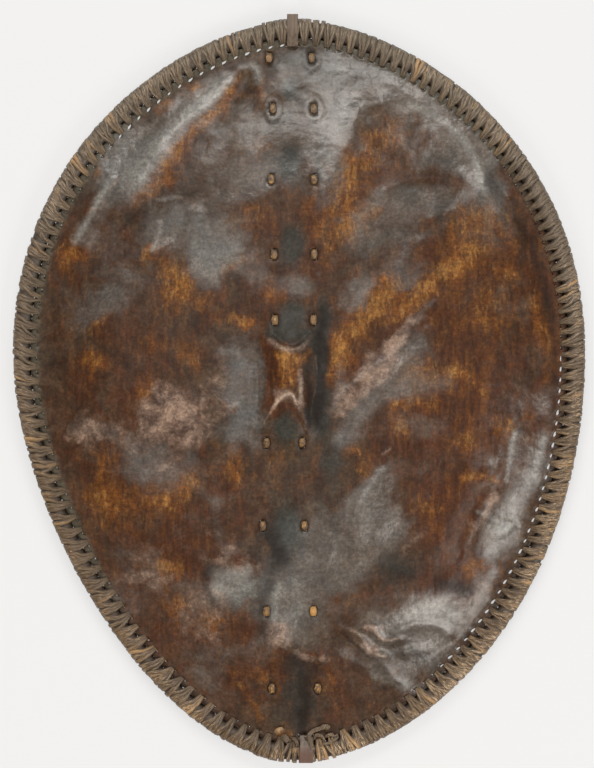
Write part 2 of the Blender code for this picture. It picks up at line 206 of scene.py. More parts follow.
def alongPath(x, y, path, width, outerWidth=None):
    # 1 on a path, falling away over its width; the width on the path's right may differ
    # the path's points and the widths are in millimetres
    nearest, aside = np.full(x.shape, 9.0), np.zeros(x.shape)
    run = smoothRun(np.reshape(path, (-1, 2)) / 1000, 8)
    for (x0, y0), (x1, y1) in zip(run, run[1:]):
        length = math.hypot(x1 - x0, y1 - y0)
        ux, uy = (x1 - x0) / length, (y1 - y0) / length
        t = np.clip((x - x0) * ux + (y - y0) * uy, 0.0, length)
        away = np.hypot(x - x0 - t * ux, y - y0 - t * uy)
        closer = away < nearest
        nearest = np.where(closer, away, nearest)
        aside = np.where(closer, (x - x0) * uy - (y - y0) * ux, aside)
    reach = np.where(aside > 0, outerWidth or width, width) / 1000
    return np.exp(-(nearest / reach) ** 2)


def patch(x, y, middleX, middleY, reachX, reachY, turn=0):
    # 1 in the middle of an oval, falling away over its reach; in millimetres and degrees
    c, s = math.cos(math.radians(turn)), math.sin(math.radians(turn))
    east, north = 1000 * x - middleX, 1000 * y - middleY
    return np.exp(-(((east * c + north * s) / reachX) ** 2 + ((north * c - east * s) / reachY) ** 2))


def plainObject(name, vertices, faces, edges=()):
    mesh = bpy.data.meshes.new(name)
    mesh.from_pydata([tuple(v) for v in vertices], list(edges), [tuple(f) for f in faces])
    mesh.update()
    return placed(name, mesh)


def faceOutwards(piece):
    bm = bmesh.new()
    bm.from_mesh(piece.data)
    bmesh.ops.recalc_face_normals(bm, faces=bm.faces[:])
    bm.to_mesh(piece.data)
    bm.free()
    piece.data.shade_smooth()


def keepValues(piece, name, values):
    attribute = piece.data.attributes.new(name, "FLOAT", "POINT")
    attribute.data.foreach_set("value", np.asarray(values, np.float32))


# the rim's line, read from the rod

rim = {
    "rodRadius": 0.009,
    "rodInset": 0.011,          # the rod's centreline, in from the rim's outline
    "stitches": 155,
    "leftSpread": 0.13,         # how much wider apart the stitches are on the left
    "leftSpreadAt": 0.72,       # share of the way round, clockwise from the top
    "stitchSpacing": 0.0174,
    "strands": 6,               # strands of thong in each stitch
    "strandWidth": 0.0054,
    "strandThickness": 0.0011,
    "packing": 0.0016,          # thickness of the turns hidden under the outer ones
    "doubled": 0.0022,          # how much thicker the wrapping is beside the stave's ends
    "crossed": 0.34,            # share of the strands that cross their neighbours
    "strandLean": 0.0150,       # how far a strand's outer part leans towards the top
    "gather": 0.32,             # width of a stitch at its hole, as a share of the stitches' spacing
    "narrow": 0.56,             # its width on the rod's inner side, as a share of its full width
    "holeInset": 0.0306,
    "holeLength": 0.0034,       # half lengths of a hole, along the rim and across it
    "holeWidth": 0.0008,
    "gape": 0.0006,             # how much wider the gaping holes are
    "strandInset": 0.0009,      # how much nearer the rim than a hole's middle its strands go in
    "cutEdgeInset": 0.0229,
}


def rodLine(steps=10):
    # the rod's highest vertices stand right above its centreline
    places = np.array([v.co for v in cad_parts["rim_rod"].data.vertices])
    crown = places[places[:, 2] > places[:, 2].max() - 1e-4]
    crown = np.unique(crown.round(6), axis=0)
    clockwise = np.argsort(-np.arctan2(crown[:, 1], crown[:, 0]))
    start = np.argmin(np.abs(crown[clockwise][:, 0]) - crown[clockwise][:, 1])
    return smoothLoop(np.roll(crown[clockwise], -start, axis=0)[:, :2], steps)


def evenly(line, count):
    # the closed line's points, evenly spread
    closed = np.vstack((line, line[:1]))
    steps = np.linalg.norm(np.diff(closed, axis=0), axis=1)
    length = np.concatenate(([0.0], np.cumsum(steps)))
    wanted = np.arange(count) * length[-1] / count
    return np.column_stack([np.interp(wanted, length, closed[:, axis]) for axis in (0, 1)])


rodCentre = evenly(rodLine(), 620)
rodHeight = (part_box("rim_rod")[0].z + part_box("rim_rod")[1].z) / 2


def rimLoop(count, inset):
    # points at a distance in from the rim's outline, clockwise from the top
    line = evenly(rodCentre, count)
    along = np.roll(line, -1, axis=0) - np.roll(line, 1, axis=0)
    along /= np.linalg.norm(along, axis=1)[:, None]
    inward = np.column_stack((along[:, 1], -along[:, 0]))
    return line + inward * (inset - rim["rodInset"])


def makeRimPath():
    data = bpy.data.curves.new("rimPath", "CURVE")
    data.dimensions = "3D"
    spline = data.splines.new("POLY")
    spline.points.add(len(rodCentre) - 1)
    for point, (x, y) in zip(spline.points, rodCentre):
        point.co = (x, y, rodHeight, 1.0)
    spline.use_cyclic_u = True
    return placed("rimPath", data)


def makeStitchPlace():
    # where a stitch, or a share of one, stands on the rim
    tree, given, result = newGroup("GeometryNodeTree", "stitchPlace", {
        "Rim": "Geometry", "Place": 0.0, "Stitches": 155, "Spread": 0.13, "Spread At": 0.72},
        {"Position": "Vector", "Inward": "Vector", "Along": "Vector"})
    share = sums(tree, "DIVIDE", given["Place"], given["Stitches"])
    turn = product(tree, sums(tree, "SUBTRACT", share, given["Spread At"]), math.tau)
    spread = sums(tree, "DIVIDE", given["Spread"], math.tau)
    moved = sums(tree, "FRACT", sums(tree, "MULTIPLY_ADD", sums(tree, "SINE", turn), spread, share))
    sample = put(tree, "GeometryNodeSampleCurve", {"Curves": given["Rim"], "Factor": moved})
    flat = vectorSums(tree, "NORMALIZE", sample.outputs["Tangent"])
    tree.links.new(sample.outputs["Position"], result["Position"])
    tree.links.new(vectorSums(tree, "CROSS_PRODUCT", flat, (0.0, 0.0, 1.0)), result["Inward"])
    tree.links.new(flat, result["Along"])
    return tree


def makeGaping():
    # where the holes gape: up to the left and down to the right, turned a little off the rim's line
    tree, given, result = newGroup("GeometryNodeTree", "gaping", {"Inward": "Vector"},
                                   {"Open": "Float", "Turn": "Float"})
    masks = []
    for towards in ((0.42, -0.91, 0.0), (-0.92, 0.39, 0.0)):
        facing = put(tree, "ShaderNodeVectorMath", {0: given["Inward"], 1: towards}, operation="DOT_PRODUCT")
        masks.append(ramp(tree, facing.outputs["Value"], 0.89, 0.94, smooth=True))
    tree.links.new(sums(tree, "MAXIMUM", *masks), result["Open"])
    turn = sums(tree, "MULTIPLY_ADD", masks[1], -0.26, product(tree, masks[0], 0.36))
    tree.links.new(turn, result["Turn"])
    return tree


stitchPlace = makeStitchPlace()
gaping = makeGaping()
rimPath = makeRimPath()
rimValues = {"Stitches": rim["stitches"], "Spread": rim["leftSpread"], "Spread At": rim["leftSpreadAt"]}
rimSockets = {"Rim": "Geometry", "Stitches": 155, "Spread": 0.13, "Spread At": 0.72}
meshOut = {"Mesh": "Geometry"}


def placeOf(tree, given, place):
    return useGroup(tree, stitchPlace, dict({name: given[name] for name in rimSockets}, Place=place))


# shared finishes

def makeFrayed():
    # breaks up a soft mask into ragged patches
    tree, given, result = newGroup("ShaderNodeTree", "frayed", {
        "Amount": 0.0, "Vector": "Vector", "Scale": 40.0, "Ragged": 1.0, "Softness": 0.2}, {"Mask": "Float"})
    clouds = noise(tree, given["Vector"], given["Scale"], 7.0, 0.66, 0.5)
    shift = product(tree, sums(tree, "SUBTRACT", clouds, 0.5), given["Ragged"])
    low, high = (sums(tree, operation, 0.5, given["Softness"]) for operation in ("SUBTRACT", "ADD"))
    mask = ramp(tree, sums(tree, "ADD", given["Amount"], shift), low, high, smooth=True)
    tree.links.new(mask, result["Mask"])
    return tree


def makeFibres():
    # streaks that run along a strand, from its own attributes
    tree, given, result = newGroup("ShaderNodeTree", "fibres", {
        "Along": 0.0, "Across": 0.0, "Strand": 0.0, "Fineness": 3.0}, {"Streak": "Float", "Height": "Float"})
    amounts = {"X": ("Across", given["Fineness"]), "Y": ("Along", 1.6), "Z": ("Strand", 37.0)}
    vector = vectorOf(tree, **{axis: product(tree, given[name], amount)
                               for axis, (name, amount) in amounts.items()})
    broad, fine = noise(tree, vector, 1.0, 3.0, 0.6), noise(tree, vector, 3.1)
    tree.links.new(ramp(tree, broad, 0.3, 0.7), result["Streak"])
    tree.links.new(sums(tree, "MULTIPLY_ADD", fine, 0.5, broad), result["Height"])
    return tree


frayed = makeFrayed()
fibres = makeFibres()


def ragged(tree, amount, vector, scale, raggedness, softness):
    return useGroup(tree, frayed, {"Amount": amount, "Vector": vector, "Scale": scale, "Ragged": raggedness,
                                   "Softness": softness})["Mask"]


def newMaterial(name, **constants):
    material = bpy.data.materials.new(name)
    material.use_nodes = True
    tree = material.node_tree
    shader = tree.nodes["Principled BSDF"]
    for socket, value in constants.items():
        shader.inputs[socket.replace("_", " ")].default_value = value
    return material, tree, shader


def objectPlace(tree):
    return put(tree, "ShaderNodeTexCoord").outputs["Object"]


def attributeValue(tree, name):
    return put(tree, "ShaderNodeAttribute", attribute_name=name).outputs["Fac"]


def bumped(tree, height, distance, strength=1.0, under=None):
    inputs = {"Height": height, "Distance": distance, "Strength": strength}
    if under is not None:
        inputs["Normal"] = under
    return put(tree, "ShaderNodeBump", inputs).outputs["Normal"]


def setLook(tree, shader, colour, roughness, normal):
    for name, found in (("Base Color", colour), ("Roughness", roughness), ("Normal", normal)):
        tree.links.new(found, shader.inputs[name])


# the hide

hide = {
    "thickness": 0.005,
    "edgeZ": 0.014,
    "dishInset": 0.036,         # where the dish starts, in from the rim's outline
    "shoulderRise": 0.022,
    "shoulderSpan": 0.30,
    "crownRise": 0.042,
    "bossX": -0.011,
    "bossTopY": 0.057,
    "bossCrestY": -0.007,
    "bossHalfWidth": 0.033,
    "bossWaist": 0.22,          # how much narrower the boss is at its waist
    "bossRise": 0.024,
    "scoopFloor": 0.72,         # height of the scoops' floors, as a share of the rise
    "bossHeadY": 0.072,
    "bossFootY": -0.052,
    "bossEndRun": 0.022,
    "upperScoopCurve": 0.034,
    "upperScoopRun": 0.012,
    "lowerLipRun": 0.013,
    "lowerScoopDrop": 0.040,
    "lowerScoopHalfWidth": 0.031,
    "lowerScoopRightWidth": 0.019,
    "lowerScoopRun": 0.045,
    "frontSpacing": 0.0034,     # size of the front's triangles
    "bossSpacing": 0.0017,      # and of those on and round the boss
    "bossArea": ((-0.060, -0.066), (0.050, 0.084)),
    "backSpacing": 0.0070,
    "frontClear": 0.0017,       # how far the triangles' points keep from the outlines
    "backClear": 0.0026,
    "edgeWander": 0.0004,       # how uneven the cut edge is, and how far its middle stands out
    "swell": (0.0022, 0.15, 11),        # unevenness of the skin: height, size, seed
    "ripple": (0.0008, 0.045, 23),
    "crinkle": (0.00022, 0.013, 37),
    "stitchHalfWidth": 0.004,   # of a lashing's stitches in the CAD part
    "dipDepth": 0.0012,         # how deep a stitch presses into the skin, and how far round it
    "dipReach": 0.0072,
    "lipHeight": 0.0006,        # how far the skin rises in a ring round it
    "endLipHeight": 0.0013,     # and round those near the top and the bottom
    "endLipY": 0.35,
    "lipRadius": 0.0098,
    "lipReach": 0.003,
    "slitHalfWidth": 0.0034,
    "slitIn": 0.0008,           # how far a slit reaches in under its stitch, and out past it
    "slitOut": 0.0011,
    "topSlotX": -0.0087,        # the slots that the stave's ends come through
    "topSlotHalfWidth": 0.0088,
    "bottomSlotX": 0.0094,
    "bottomSlotHalfWidth": 0.0104,
    "frontSlots": (0.0275, 0.0345),     # their near and far sides, in from the rim
    "backSlots": (0.0336, 0.0412),
    "clearOfSlots": 0.0125,     # no hole is punched nearer than this to a slot's middle
}

# In the lists below, places and sizes are in millimetres and turns in degrees.

# raised folds, or troughs where the height is negative: height, width on the path's left, width on its
# right, then the path's points
folds = (
    (2.2, 6, 9, 132, -322, 160, -314, 188, -318, 214, -332), (2, 6, 8, 142, -352, 172, -346, 204, -328),
    (1.2, 4, 7, 246, -167, 264, -176, 290, -187), (1.4, 4, 6, 262, -205, 276, -200, 290, -192),
    (1.8, 8, 10, 30, -180, 40, -205, 36, -232), (1.8, 6, 8, -10, -262, -4, -290, -10, -316),
    (1.6, 5, 8, 262, -62, 256, -98, 248, -124),
    (4.6, 21, 13, -230, 255, -201, 298, -182, 330, -160, 357, -131, 376, -104, 396, -86, 421, -65, 432,
     -51, 414, -45, 380),
    (5, 10, 15, 125, 420, 172, 389, 203, 364, 231, 328, 243, 300, 253, 265, 277, 230, 304, 190),
    (3.5, 10, 14, 110, 380, 80, 374, 66, 332, 51, 299, 36, 262),
    (2, 6, 8, 112, 262, 143, 277, 172, 282, 209, 277),
    (4, 10, 16, 46, -20, 66, 0, 92, 18, 122, 40, 152, 72, 172, 104),
    (3.2, 8, 16, 222, -212, 240, -172, 254, -140, 270, -109, 288, -58),
    (3.5, 7, 18, 70, -196, 79, -156, 95, -130, 108, -112),
    (2.7, 5, 5, 56, -318, 75, -327, 86, -338, 94, -352, 114, -357),
    (2.5, 4, 5, 83, -319, 98, -317, 107, -330, 116, -337, 138, -335),
    (2.6, 12, 7, -128, -254, -103, -229, -71, -223, -50, -243, -46, -283, -30, -322, -12, -337, 28, -358),
    (2.6, 5, 7, -306, 190, -290, 218, -272, 252, -252, 283),
    (2, 5, 6, -288, 186, -274, 212, -258, 244, -240, 268), (1.8, 6, 6, -280, -198, -255, -190, -222, -184),
    (2.4, 9, 7, -225, -22, -196, -10, -178, -30, -150, -14, -128, -22),
    (2.2, 9, 7, -205, -62, -170, -70, -140, -58, -112, -70), (1.8, 6, 6, 128, 60, 150, 84, 166, 88),
    (2.2, 8, 8, 100, -350, 125, -385, 150, -405), (2.6, 12, 16, -150, 145, -128, 168, -120, 200, -128, 228),
    (2.6, 8, 14, -200, 176, -176, 188, -150, 206, -140, 232),
    (-4.6, 13, 13, 250, 318, 273, 273, 296, 215, 326, 149, 344, 72, 346, 20),
    (-1.3, 4, 4, 22.5, 272, 22.5, 200, 22.5, 118), (-1.6, 6, 6, -52, 150, -54, 78, -54, -70),
    (-1.8, 14, 14, 36, 110, 34, 60, 36, 0, 33, -45), (-1.6, 8, 8, 214, 263, 195, 240, 185, 219, 160, 205),
    (-2.2, 10, 10, 60, 100, 80, 130, 110, 165, 140, 190), (-2, 10, 10, -215, 235, -250, 215, -275, 190),
    (-1.6, 10, 10, -190, -410, -150, -430, -100, -448),
)

# hollows, or rises where the depth is negative: middle x, y, reach across, reach up, depth, turn
hollows = (
    (3, -452, 10, 14, 4), (-78, 402, 14, 26, 4.5, -25), (-218, 322, 16, 34, 0.8, -38),
    (135, 335, 52, 34, 5, -30), (205, 298, 34, 22, 3.5, -30), (-116, 181, 30, 36, 4),
    (-257, 110, 30, 22, 2.4, 35), (142, 210, 30, 20, 1.6, 40), (-150, -30, 50, 40, -3),
    (160, -300, 75, 36, -4.5, 20), (205, -255, 30, 20, -3, 50), (110, -360, 50, 16, -2.5, -50),
    (-80, -270, 34, 40, -2.5), (100, -170, 28, 40, -3.5, -25), (300, -100, 20, 50, -2.5, -14),
    (-142, 399, 12, 10, -3, 30), (-180, 377, 16, 9, -2.5, 35), (-265, 296, 8, 18, -2, -35),
    (100, -341, 8, 14, 2.6, 40), (215, 20, 60, 60, -3), (-215, -230, 60, 80, 3, 20),
    (-200, 60, 50, 50, 2.4), (60, 430, 70, 22, -2), (20, -440, 80, 30, 2.2), (190, -120, 30, 50, 3, -20),
)

# stained dents between the stitches down the middle: x, y, reach across, reach up, depth, stain
dents = (
    (-13, 399, 13, 16, 1, 0.9), (-12, 300, 14, 24, 2, 1.1), (-9, 190, 16, 26, 3, 1.2),
    (-9, 96, 17, 20, 1.2, 1.2), (-18, -52, 15, 16, 2.6, 1.2), (-17, -182, 19, 30, 1.8, 1.1),
    (-12, -283, 13, 24, 1.2, 0), (-12, -403, 14, 26, 2, 0.8),
)

# finishes painted on the hide; each has ovals: middle x, y, reach across, reach up, strength, turn,
# and strokes: width, strength, then the path's points
paint = {}
paint["rubbed"] = ((
    (52, 282, 14, 26, 0.4), (-158, 140, 14, 20, 0.2), (-160, 138, 18, 24, 0.35),
    (-172, 304, 10, 22, 0.3, -34), (142, 24, 24, 12, 0.3, 10), (-176, 306, 10, 22, 0.5, -34),
    (-200, -222, 26, 18, 0.3), (-150, -300, 18, 26, 0.25), (-252, -162, 24, 22, 0.6),
    (58, 284, 18, 30, 0.7, -20), (140, 22, 22, 14, 0.5, 20), (330, 24, 10, 20, 0.6),
    (-270, 200, 24, 10, 0.3, 30), (-300, 100, 20, 16, 0.35), (-308, 177, 16, 18, 0.8),
    (-192, 184, 16, 10, 1, 30), (-164, 141, 20, 26, 1), (-88, 223, 14, 10, 0.7),
    (-92, 164, 26, 12, 0.8, 20), (-124, 118, 34, 24, 0.3), (-208, 62, 18, 18, 0.45),
    (-265, 88, 10, 10, 0.8), (-271, 38, 20, 16, 0.9), (-154, 46, 26, 18, 0.55), (-83, 90, 18, 8, 0.9),
    (-52, 233, 22, 12, 0.7), (-35, 125, 16, 18, 0.7), (-44, 323, 22, 12, 0.7, 10), (-52, 385, 10, 24, 0.7),
    (-142, 399, 12, 8, 1, 20), (-180, 379, 16, 8, 0.8, 30), (-263, 296, 8, 16, 0.8, -30),
    (-92, 400, 10, 26, 0.9, -30), (-128, 352, 34, 10, 0.9, 42), (-168, 310, 12, 34, 0.9, -34),
    (-205, 262, 24, 10, 0.8, 40), (-201, -6, 14, 12, 0.9), (-91, -17, 12, 6, 0.9),
    (-257, -141, 20, 30, 0.6), (-185, -146, 26, 24, 0.9), (-142, -132, 18, 14, 0.8),
    (-259, -90, 18, 16, 0.6), (-86, -108, 18, 24, 0.7), (-176, -240, 18, 14, 0.9),
    (-119, -300, 26, 34, 0.6), (-159, -285, 18, 16, 0.6), (-25, -459, 12, 10, 1),
    (54, 40, 13, 28, 1.1, -20), (74, 80, 14, 28, 1, -35), (99, 114, 24, 16, 1, 45),
    (124, 140, 20, 14, 0.8, 40), (134, 98, 26, 12, 0.8, 35), (168, 130, 26, 14, 1, 35),
    (203, 162, 30, 16, 1, 35), (224, 196, 20, 22, 0.7), (78, 282, 20, 36, 0.8, -20),
    (64, 212, 20, 26, 0.9, -30), (148, 18, 34, 18, 0.6, 30), (115, 338, 34, 26, 0.8),
    (90, 235, 40, 14, 0.7, 30), (240, 235, 26, 30, 0.6, -30), (328, 72, 12, 24, 0.7),
    (205, 22, 20, 14, 0.9), (312, 118, 14, 16, 0.7), (278, 154, 14, 12, 0.7), (250, 105, 40, 34, 0.65),
    (262, 220, 24, 30, 0.6), (134, -22, 14, 10, 0.8), (170, -18, 18, 16, 0.7), (236, 4, 16, 26, 0.4),
    (134, -55, 14, 10, 0.9), (221, -68, 24, 14, 0.8, 10), (286, -53, 16, 12, 0.9), (264, -34, 10, 14, 0.4),
    (72, -80, 14, 12, 0.8), (90, -110, 14, 16, 0.8), (235, -118, 24, 6, 1, -6), (180, -165, 30, 26, 0.5),
    (239, -239, 26, 12, 0.7, 10), (71, -283, 14, 8, 0.6), (99, -241, 10, 16, 0.5), (-13, 40, 9, 18, 1),
    (-14, 10, 7, 12, 0.5), (20, -90, 6, 20, 0.7), (-34, -95, 10, 20, 0.6), (30, -405, 10, 22, 0.6),
    (-40, -395, 14, 26, 0.5), (10, 255, 8, 30, 0.6), (34, 190, 6, 30, 0.6),
), (
    (3.5, 0.7, -12, -418, -13, -436), (4, 0.6, 26, -366, 36, -376, 44, -390), (5, 0.5, 46, -414, 52, -430),
    (6, 0.5, -78, -396, -62, -418, -52, -440), (6, 0.5, 198, 24, 200, -4), (5, 0.5, 246, 0, 248, -30),
    (7, 0.62, -29, 44, -17, 38, -2, 42, 6, 40), (7.5, 0.95, -15, 42, -12, 26, -10, 8),
    (5, 0.6, -23, 34, -21, 18, -20, 4), (5, 0.5, 1, 38, -1, 20), (4, 0.45, 14, 52, 11, 36),
))
# painted sheen: grey patches that stand in for reflected light, where the coat is also made glossier
paint["glossAndPaintedSheen"] = ((
    (-116, -140, 30, 26, 0.12), (-70, -150, 30, 26, 0.22), (-150, -165, 16, 30, 0.22, 8),
    (176, -46, 28, 10, 0.2, 20), (212, -96, 34, 9, 0.36), (160, -106, 24, 10, 0.34),
    (-100, 330, 34, 28, 0.13), (-130, 205, 46, 40, 0.18), (-60, 372, 16, 24, 0.1),
    (100, -160, 24, 34, 0.16), (140, 152, 26, 18, 0.26, 20), (110, 345, 30, 20, 0.08),
    (262, 112, 32, 26, 0.2), (50, 284, 18, 30, 0.08), (110, 335, 44, 30, 0.32),
    (250, 235, 40, 34, 0.28, -30), (72, 215, 22, 34, 0.28, -30), (285, 125, 34, 40, 0.25),
    (-300, 105, 26, 26, 0.35), (-240, 160, 40, 26, 0.2), (-120, -390, 28, 34, 0.5, 30),
    (-48, -425, 12, 20, 0.35), (185, -338, 40, 18, 0.6, 30), (86, -425, 14, 12, 0.3),
    (50, 282, 14, 24, 0.4, -20), (200, 250, 18, 18, 0.6), (172, -56, 26, 14, 0.45),
    (304, -14, 24, 10, 0.4, 20), (235, -80, 20, 10, 0.35), (110, -60, 20, 16, 0.3),
    (-150, -305, 24, 34, 0.3, -20), (-100, -350, 36, 24, 0.25, -30), (-55, 150, 24, 20, 0.15),
    (250, 300, 12, 24, 0.7, 30), (-200, -225, 26, 30, 0.15), (262, 225, 20, 20, 0.3),
    (-225, -270, 40, 50, 0.25, 30), (-100, 345, 50, 30, 0.3, 30), (-222, 300, 20, 34, 1.2, -35),
    (-60, 285, 44, 30, 0.9), (-165, 350, 12, 40, 1, -38), (-237, 322, 20, 26, 0.9, -30),
    (-249, 289, 12, 24, 0.9, -30), (-112, 186, 32, 36, 1.1), (-165, 222, 40, 22, 0.8, 20),
    (-257, 116, 34, 16, 0.6, 38), (-78, 30, 22, 36, 0.8), (-78, -39, 26, 34, 0.9), (-15, 443, 50, 22, 0.15),
    (62, 425, 60, 30, 0.6, -8), (0, 138, 20, 18, 0.8), (262, 224, 30, 34, 0.4),
    (-265, 205, 30, 22, 0.4, 30), (35, 345, 22, 50, 0.9), (140, 400, 40, 26, 1, -30),
    (200, 350, 40, 18, 1.1, -42), (238, 322, 14, 34, 1.1, 24), (205, 312, 34, 22, 0.7, -20),
    (74, 372, 22, 22, 0.8), (262, 262, 10, 40, 0.9, 28), (78, 130, 12, 30, 0.9, -38),
    (100, 205, 36, 18, 0.7, 40), (140, 200, 26, 14, 0.5, 30), (176, 250, 26, 18, 0.7, 20),
    (134, 250, 30, 18, 0.8), (200, 300, 40, 16, 0.8, -20), (20, 300, 12, 60, 0.6), (10, -215, 34, 50, 0.8),
    (100, -135, 12, 30, 1, -30), (104, -172, 30, 38, 1.1), (60, -226, 44, 38, 1.1, 20),
    (278, -170, 26, 32, 1, -20), (318, -100, 15, 40, 0.9, -12), (291, -70, 10, 30, 0.7, -10),
    (256, -110, 7, 36, 0.5, -18), (-92, -264, 34, 26, 1.2), (-12, -280, 38, 48, 1.2),
    (160, -305, 50, 26, 1.2, 16), (202, -312, 30, 12, 0.7, 36), (120, -310, 30, 20, 0.9),
    (108, -362, 30, 12, 0.9, -45), (150, -402, 20, 12, 0.8), (262, -216, 24, 12, 0.5, 30),
    (20, -344, 30, 7, 0.3, -10), (325, -20, 14, 26, 0.6), (-56, -10, 5, 50, 0.7),
    (130, 10, 50, 34, 0.5, 20), (-200, -80, 40, 22, 0.5), (-160, -110, 34, 20, 0.5, 20),
    (-200, -245, 80, 60, 0.25), (-222, 300, 30, 44, 0.9, -35), (-150, 378, 26, 20, 0.5, 35),
    (-20, 362, 22, 34, 0.6), (-60, 370, 26, 26, 0.2), (172, -362, 26, 22, 0.45, 40),
    (140, 150, 22, 20, 0.45), (-10, -290, 24, 40, 0.9), (-210, -100, 30, 22, 0.6), (-55, 155, 30, 30, 0.4),
    (-250, 150, 40, 30, 0.35), (50, 0, 6, 30, 0.7, -20),
), (
    (9, 0.95, 110, 392, 160, 376, 203, 350, 228, 320, 243, 284, 250, 255),
    (13, 0.95, -232, 262, -205, 300, -184, 334, -158, 362, -128, 384, -96, 414),
    (19, 0.85, 56, -66, 78, -34, 102, -4, 128, 28, 160, 60), (15, 0.45, 130, 4, 155, 2, 190, 6),
    (11, 0.25, 130, -36, 150, -42, 180, -40), (9, 0.6, 222, -296, 244, -272, 262, -244),
    (14, 0.5, -300, -50, -262, -56, -228, -70), (8, 0.4, -112, -150, -106, -205),
    (12, 0.8, -290, 200, -270, 232, -250, 268), (8, 0.4, 50, 225, 90, 235, 120, 262),
    (8, 0.6, 60, -352, 105, -378, 150, -405),
))
paint["reddened"] = ((
    (-180, 310, 10, 26, 0.7, -36), (0, -362, 24, 18, 0.7), (212, -162, 26, 24, 0.7),
    (236, -36, 30, 20, 0.6), (140, 14, 26, 14, 0.6, 10), (58, 24, 14, 26, 0.5, -30),
    (-78, -236, 18, 10, 0.4, 20), (300, -96, 10, 18, 0.5, -12), (208, -268, 24, 12, 0.8, 30),
    (300, -48, 24, 14, 0.5), (62, 34, 18, 30, 0.8, -30), (210, -155, 26, 36, 0.8), (242, -40, 26, 50, 1.2),
    (-270, 204, 30, 16, 0.8, 30), (170, -65, 30, 20, 0.6), (-240, 45, 30, 20, 0.5),
    (-125, -225, 30, 20, 0.6), (40, -122, 20, 20, 0.5), (300, -20, 24, 20, 0.5), (-60, 120, 60, 50, 0.5),
    (-200, 50, 110, 70, 0.5), (-240, 130, 60, 50, 0.2), (-220, -120, 90, 80, 0.8),
    (-180, -280, 110, 90, 0.8, -30), (-100, -160, 70, 60, 0.4), (210, 150, 120, 70, 0.7, 35),
    (230, 40, 100, 80, 0.6), (100, 280, 90, 50, 0.7, 20), (110, 70, 90, 50, 0.7, 40),
    (190, -60, 100, 60, 0.8), (195, -170, 50, 60, 1), (205, -255, 30, 26, 0.9), (240, -40, 50, 50, 0.9),
    (-265, 195, 35, 26, 0.6), (330, 110, 14, 80, 0.8, 8), (230, -240, 40, 20, 0.8),
    (110, -275, 70, 20, 0.6), (280, 220, 50, 70, 0.5), (-220, 275, 40, 20, 0.6, 40),
    (-150, 325, 50, 20, 0.7, 45), (-40, 230, 40, 30, 0.6), (-30, 140, 30, 30, 0.5),
    (190, -400, 60, 30, 0.7, 40), (-60, -400, 80, 50, 0.6), (60, -410, 60, 50, 0.5),
    (-310, 170, 20, 50, 0.5), (20, 225, 12, 60, 0.7),
), (
    (8, 1.6, -36, 36, -32, 16, -30, 2), (11, 1.5, -41, 62, -39, 30, -33, 0, -36, -24),
    (7.5, 1, -30, -34, -22, -22, -13, -18, -4, -28, 6, -48), (5, 0.8, 47, 52, 43, 26, 40, 4, 37, -20),
))
# pale pink-grey scuffs, partly real wear and partly painted sheen; the strokes are painted highlights on the
# boss's lips and on fold edges
paint["scuffsAndHighlights"] = ((
    (-200, -222, 26, 14, 0.4), (-70, -236, 24, 8, 0.5, 20), (254, -198, 14, 10, 0.4, 20),
    (-150, -300, 20, 26, 0.4, -20), (-100, -195, 16, 10, 0.3), (-120, -330, 30, 12, 0.4, -40),
    (-285, -45, 12, 18, 0.7), (-262, -58, 34, 16, 0.5), (-195, -40, 16, 26, 1, -20),
    (-156, -28, 26, 22, 1.1), (-144, -65, 26, 18, 1), (-106, 14, 14, 26, 0.6), (107, 36, 26, 10, 1, 40),
    (134, 64, 18, 9, 1, 40), (156, 88, 14, 6, 0.9, 30), (52, -14, 10, 18, 0.9, -35),
    (88, 6, 20, 10, 0.9, 30), (247, -160, 8, 26, 0.9, -22), (-30, -325, 12, 16, 1, 30),
    (12, -352, 26, 6, 0.9, -18), (-179, -109, 18, 6, 0.6, 30), (-204, -254, 26, 8, 0.8),
    (102, -320, 14, 4, 1), (90, -346, 16, 4, 1, -40), (-20, -6, 10, 6, 1), (-100, -225, 30, 6, 0.6, 10),
    (150, -200, 20, 6, 0.5, 40), (-120, -285, 20, 20, 0.5), (236, -270, 20, 8, 0.5, 30),
), (
    (6.2, 0.7, -38, 64, -28, 56, -12, 51, 2, 54, 13, 68), (4.4, 0.8, 0, 24, 2, 4, 3, -22),
    (4, 0.8, -34, -24, -26, -14, -16, -7.5, -8, -8, -2, -22), (2.6, 0.5, -46, -46, -40, -34, -34, -24),
    (2.4, 0.45, -1, -24, 4, -40, 8, -54), (1.1, 0.5, 22, 42, 25, 16, 19, -12, 17, -34),
    (0.9, 0.35, 27, 36, 27, 6, 22, -30), (2.6, 0.75, 58, -317, 78, -325, 88, -338, 96, -352, 116, -357),
    (2.4, 0.8, 86, -318, 98, -317, 106, -330, 116, -336, 134, -334),
    (3, 0.55, 226, -206, 246, -165, 258, -138), (2.8, 0.5, 296, -185, 266, -172, 250, -164),
    (2.8, 0.5, 106, -108, 112, -86, 122, -80), (3.4, 0.45, -190, 182, -186, 198, -183, 222),
    (3.4, 0.4, -180, 250, -164, 254, -148, 250), (2.6, 0.5, -268, 228, -256, 262, -236, 286),
    (3, 0.5, -306, 200, -290, 222, -276, 240),
))
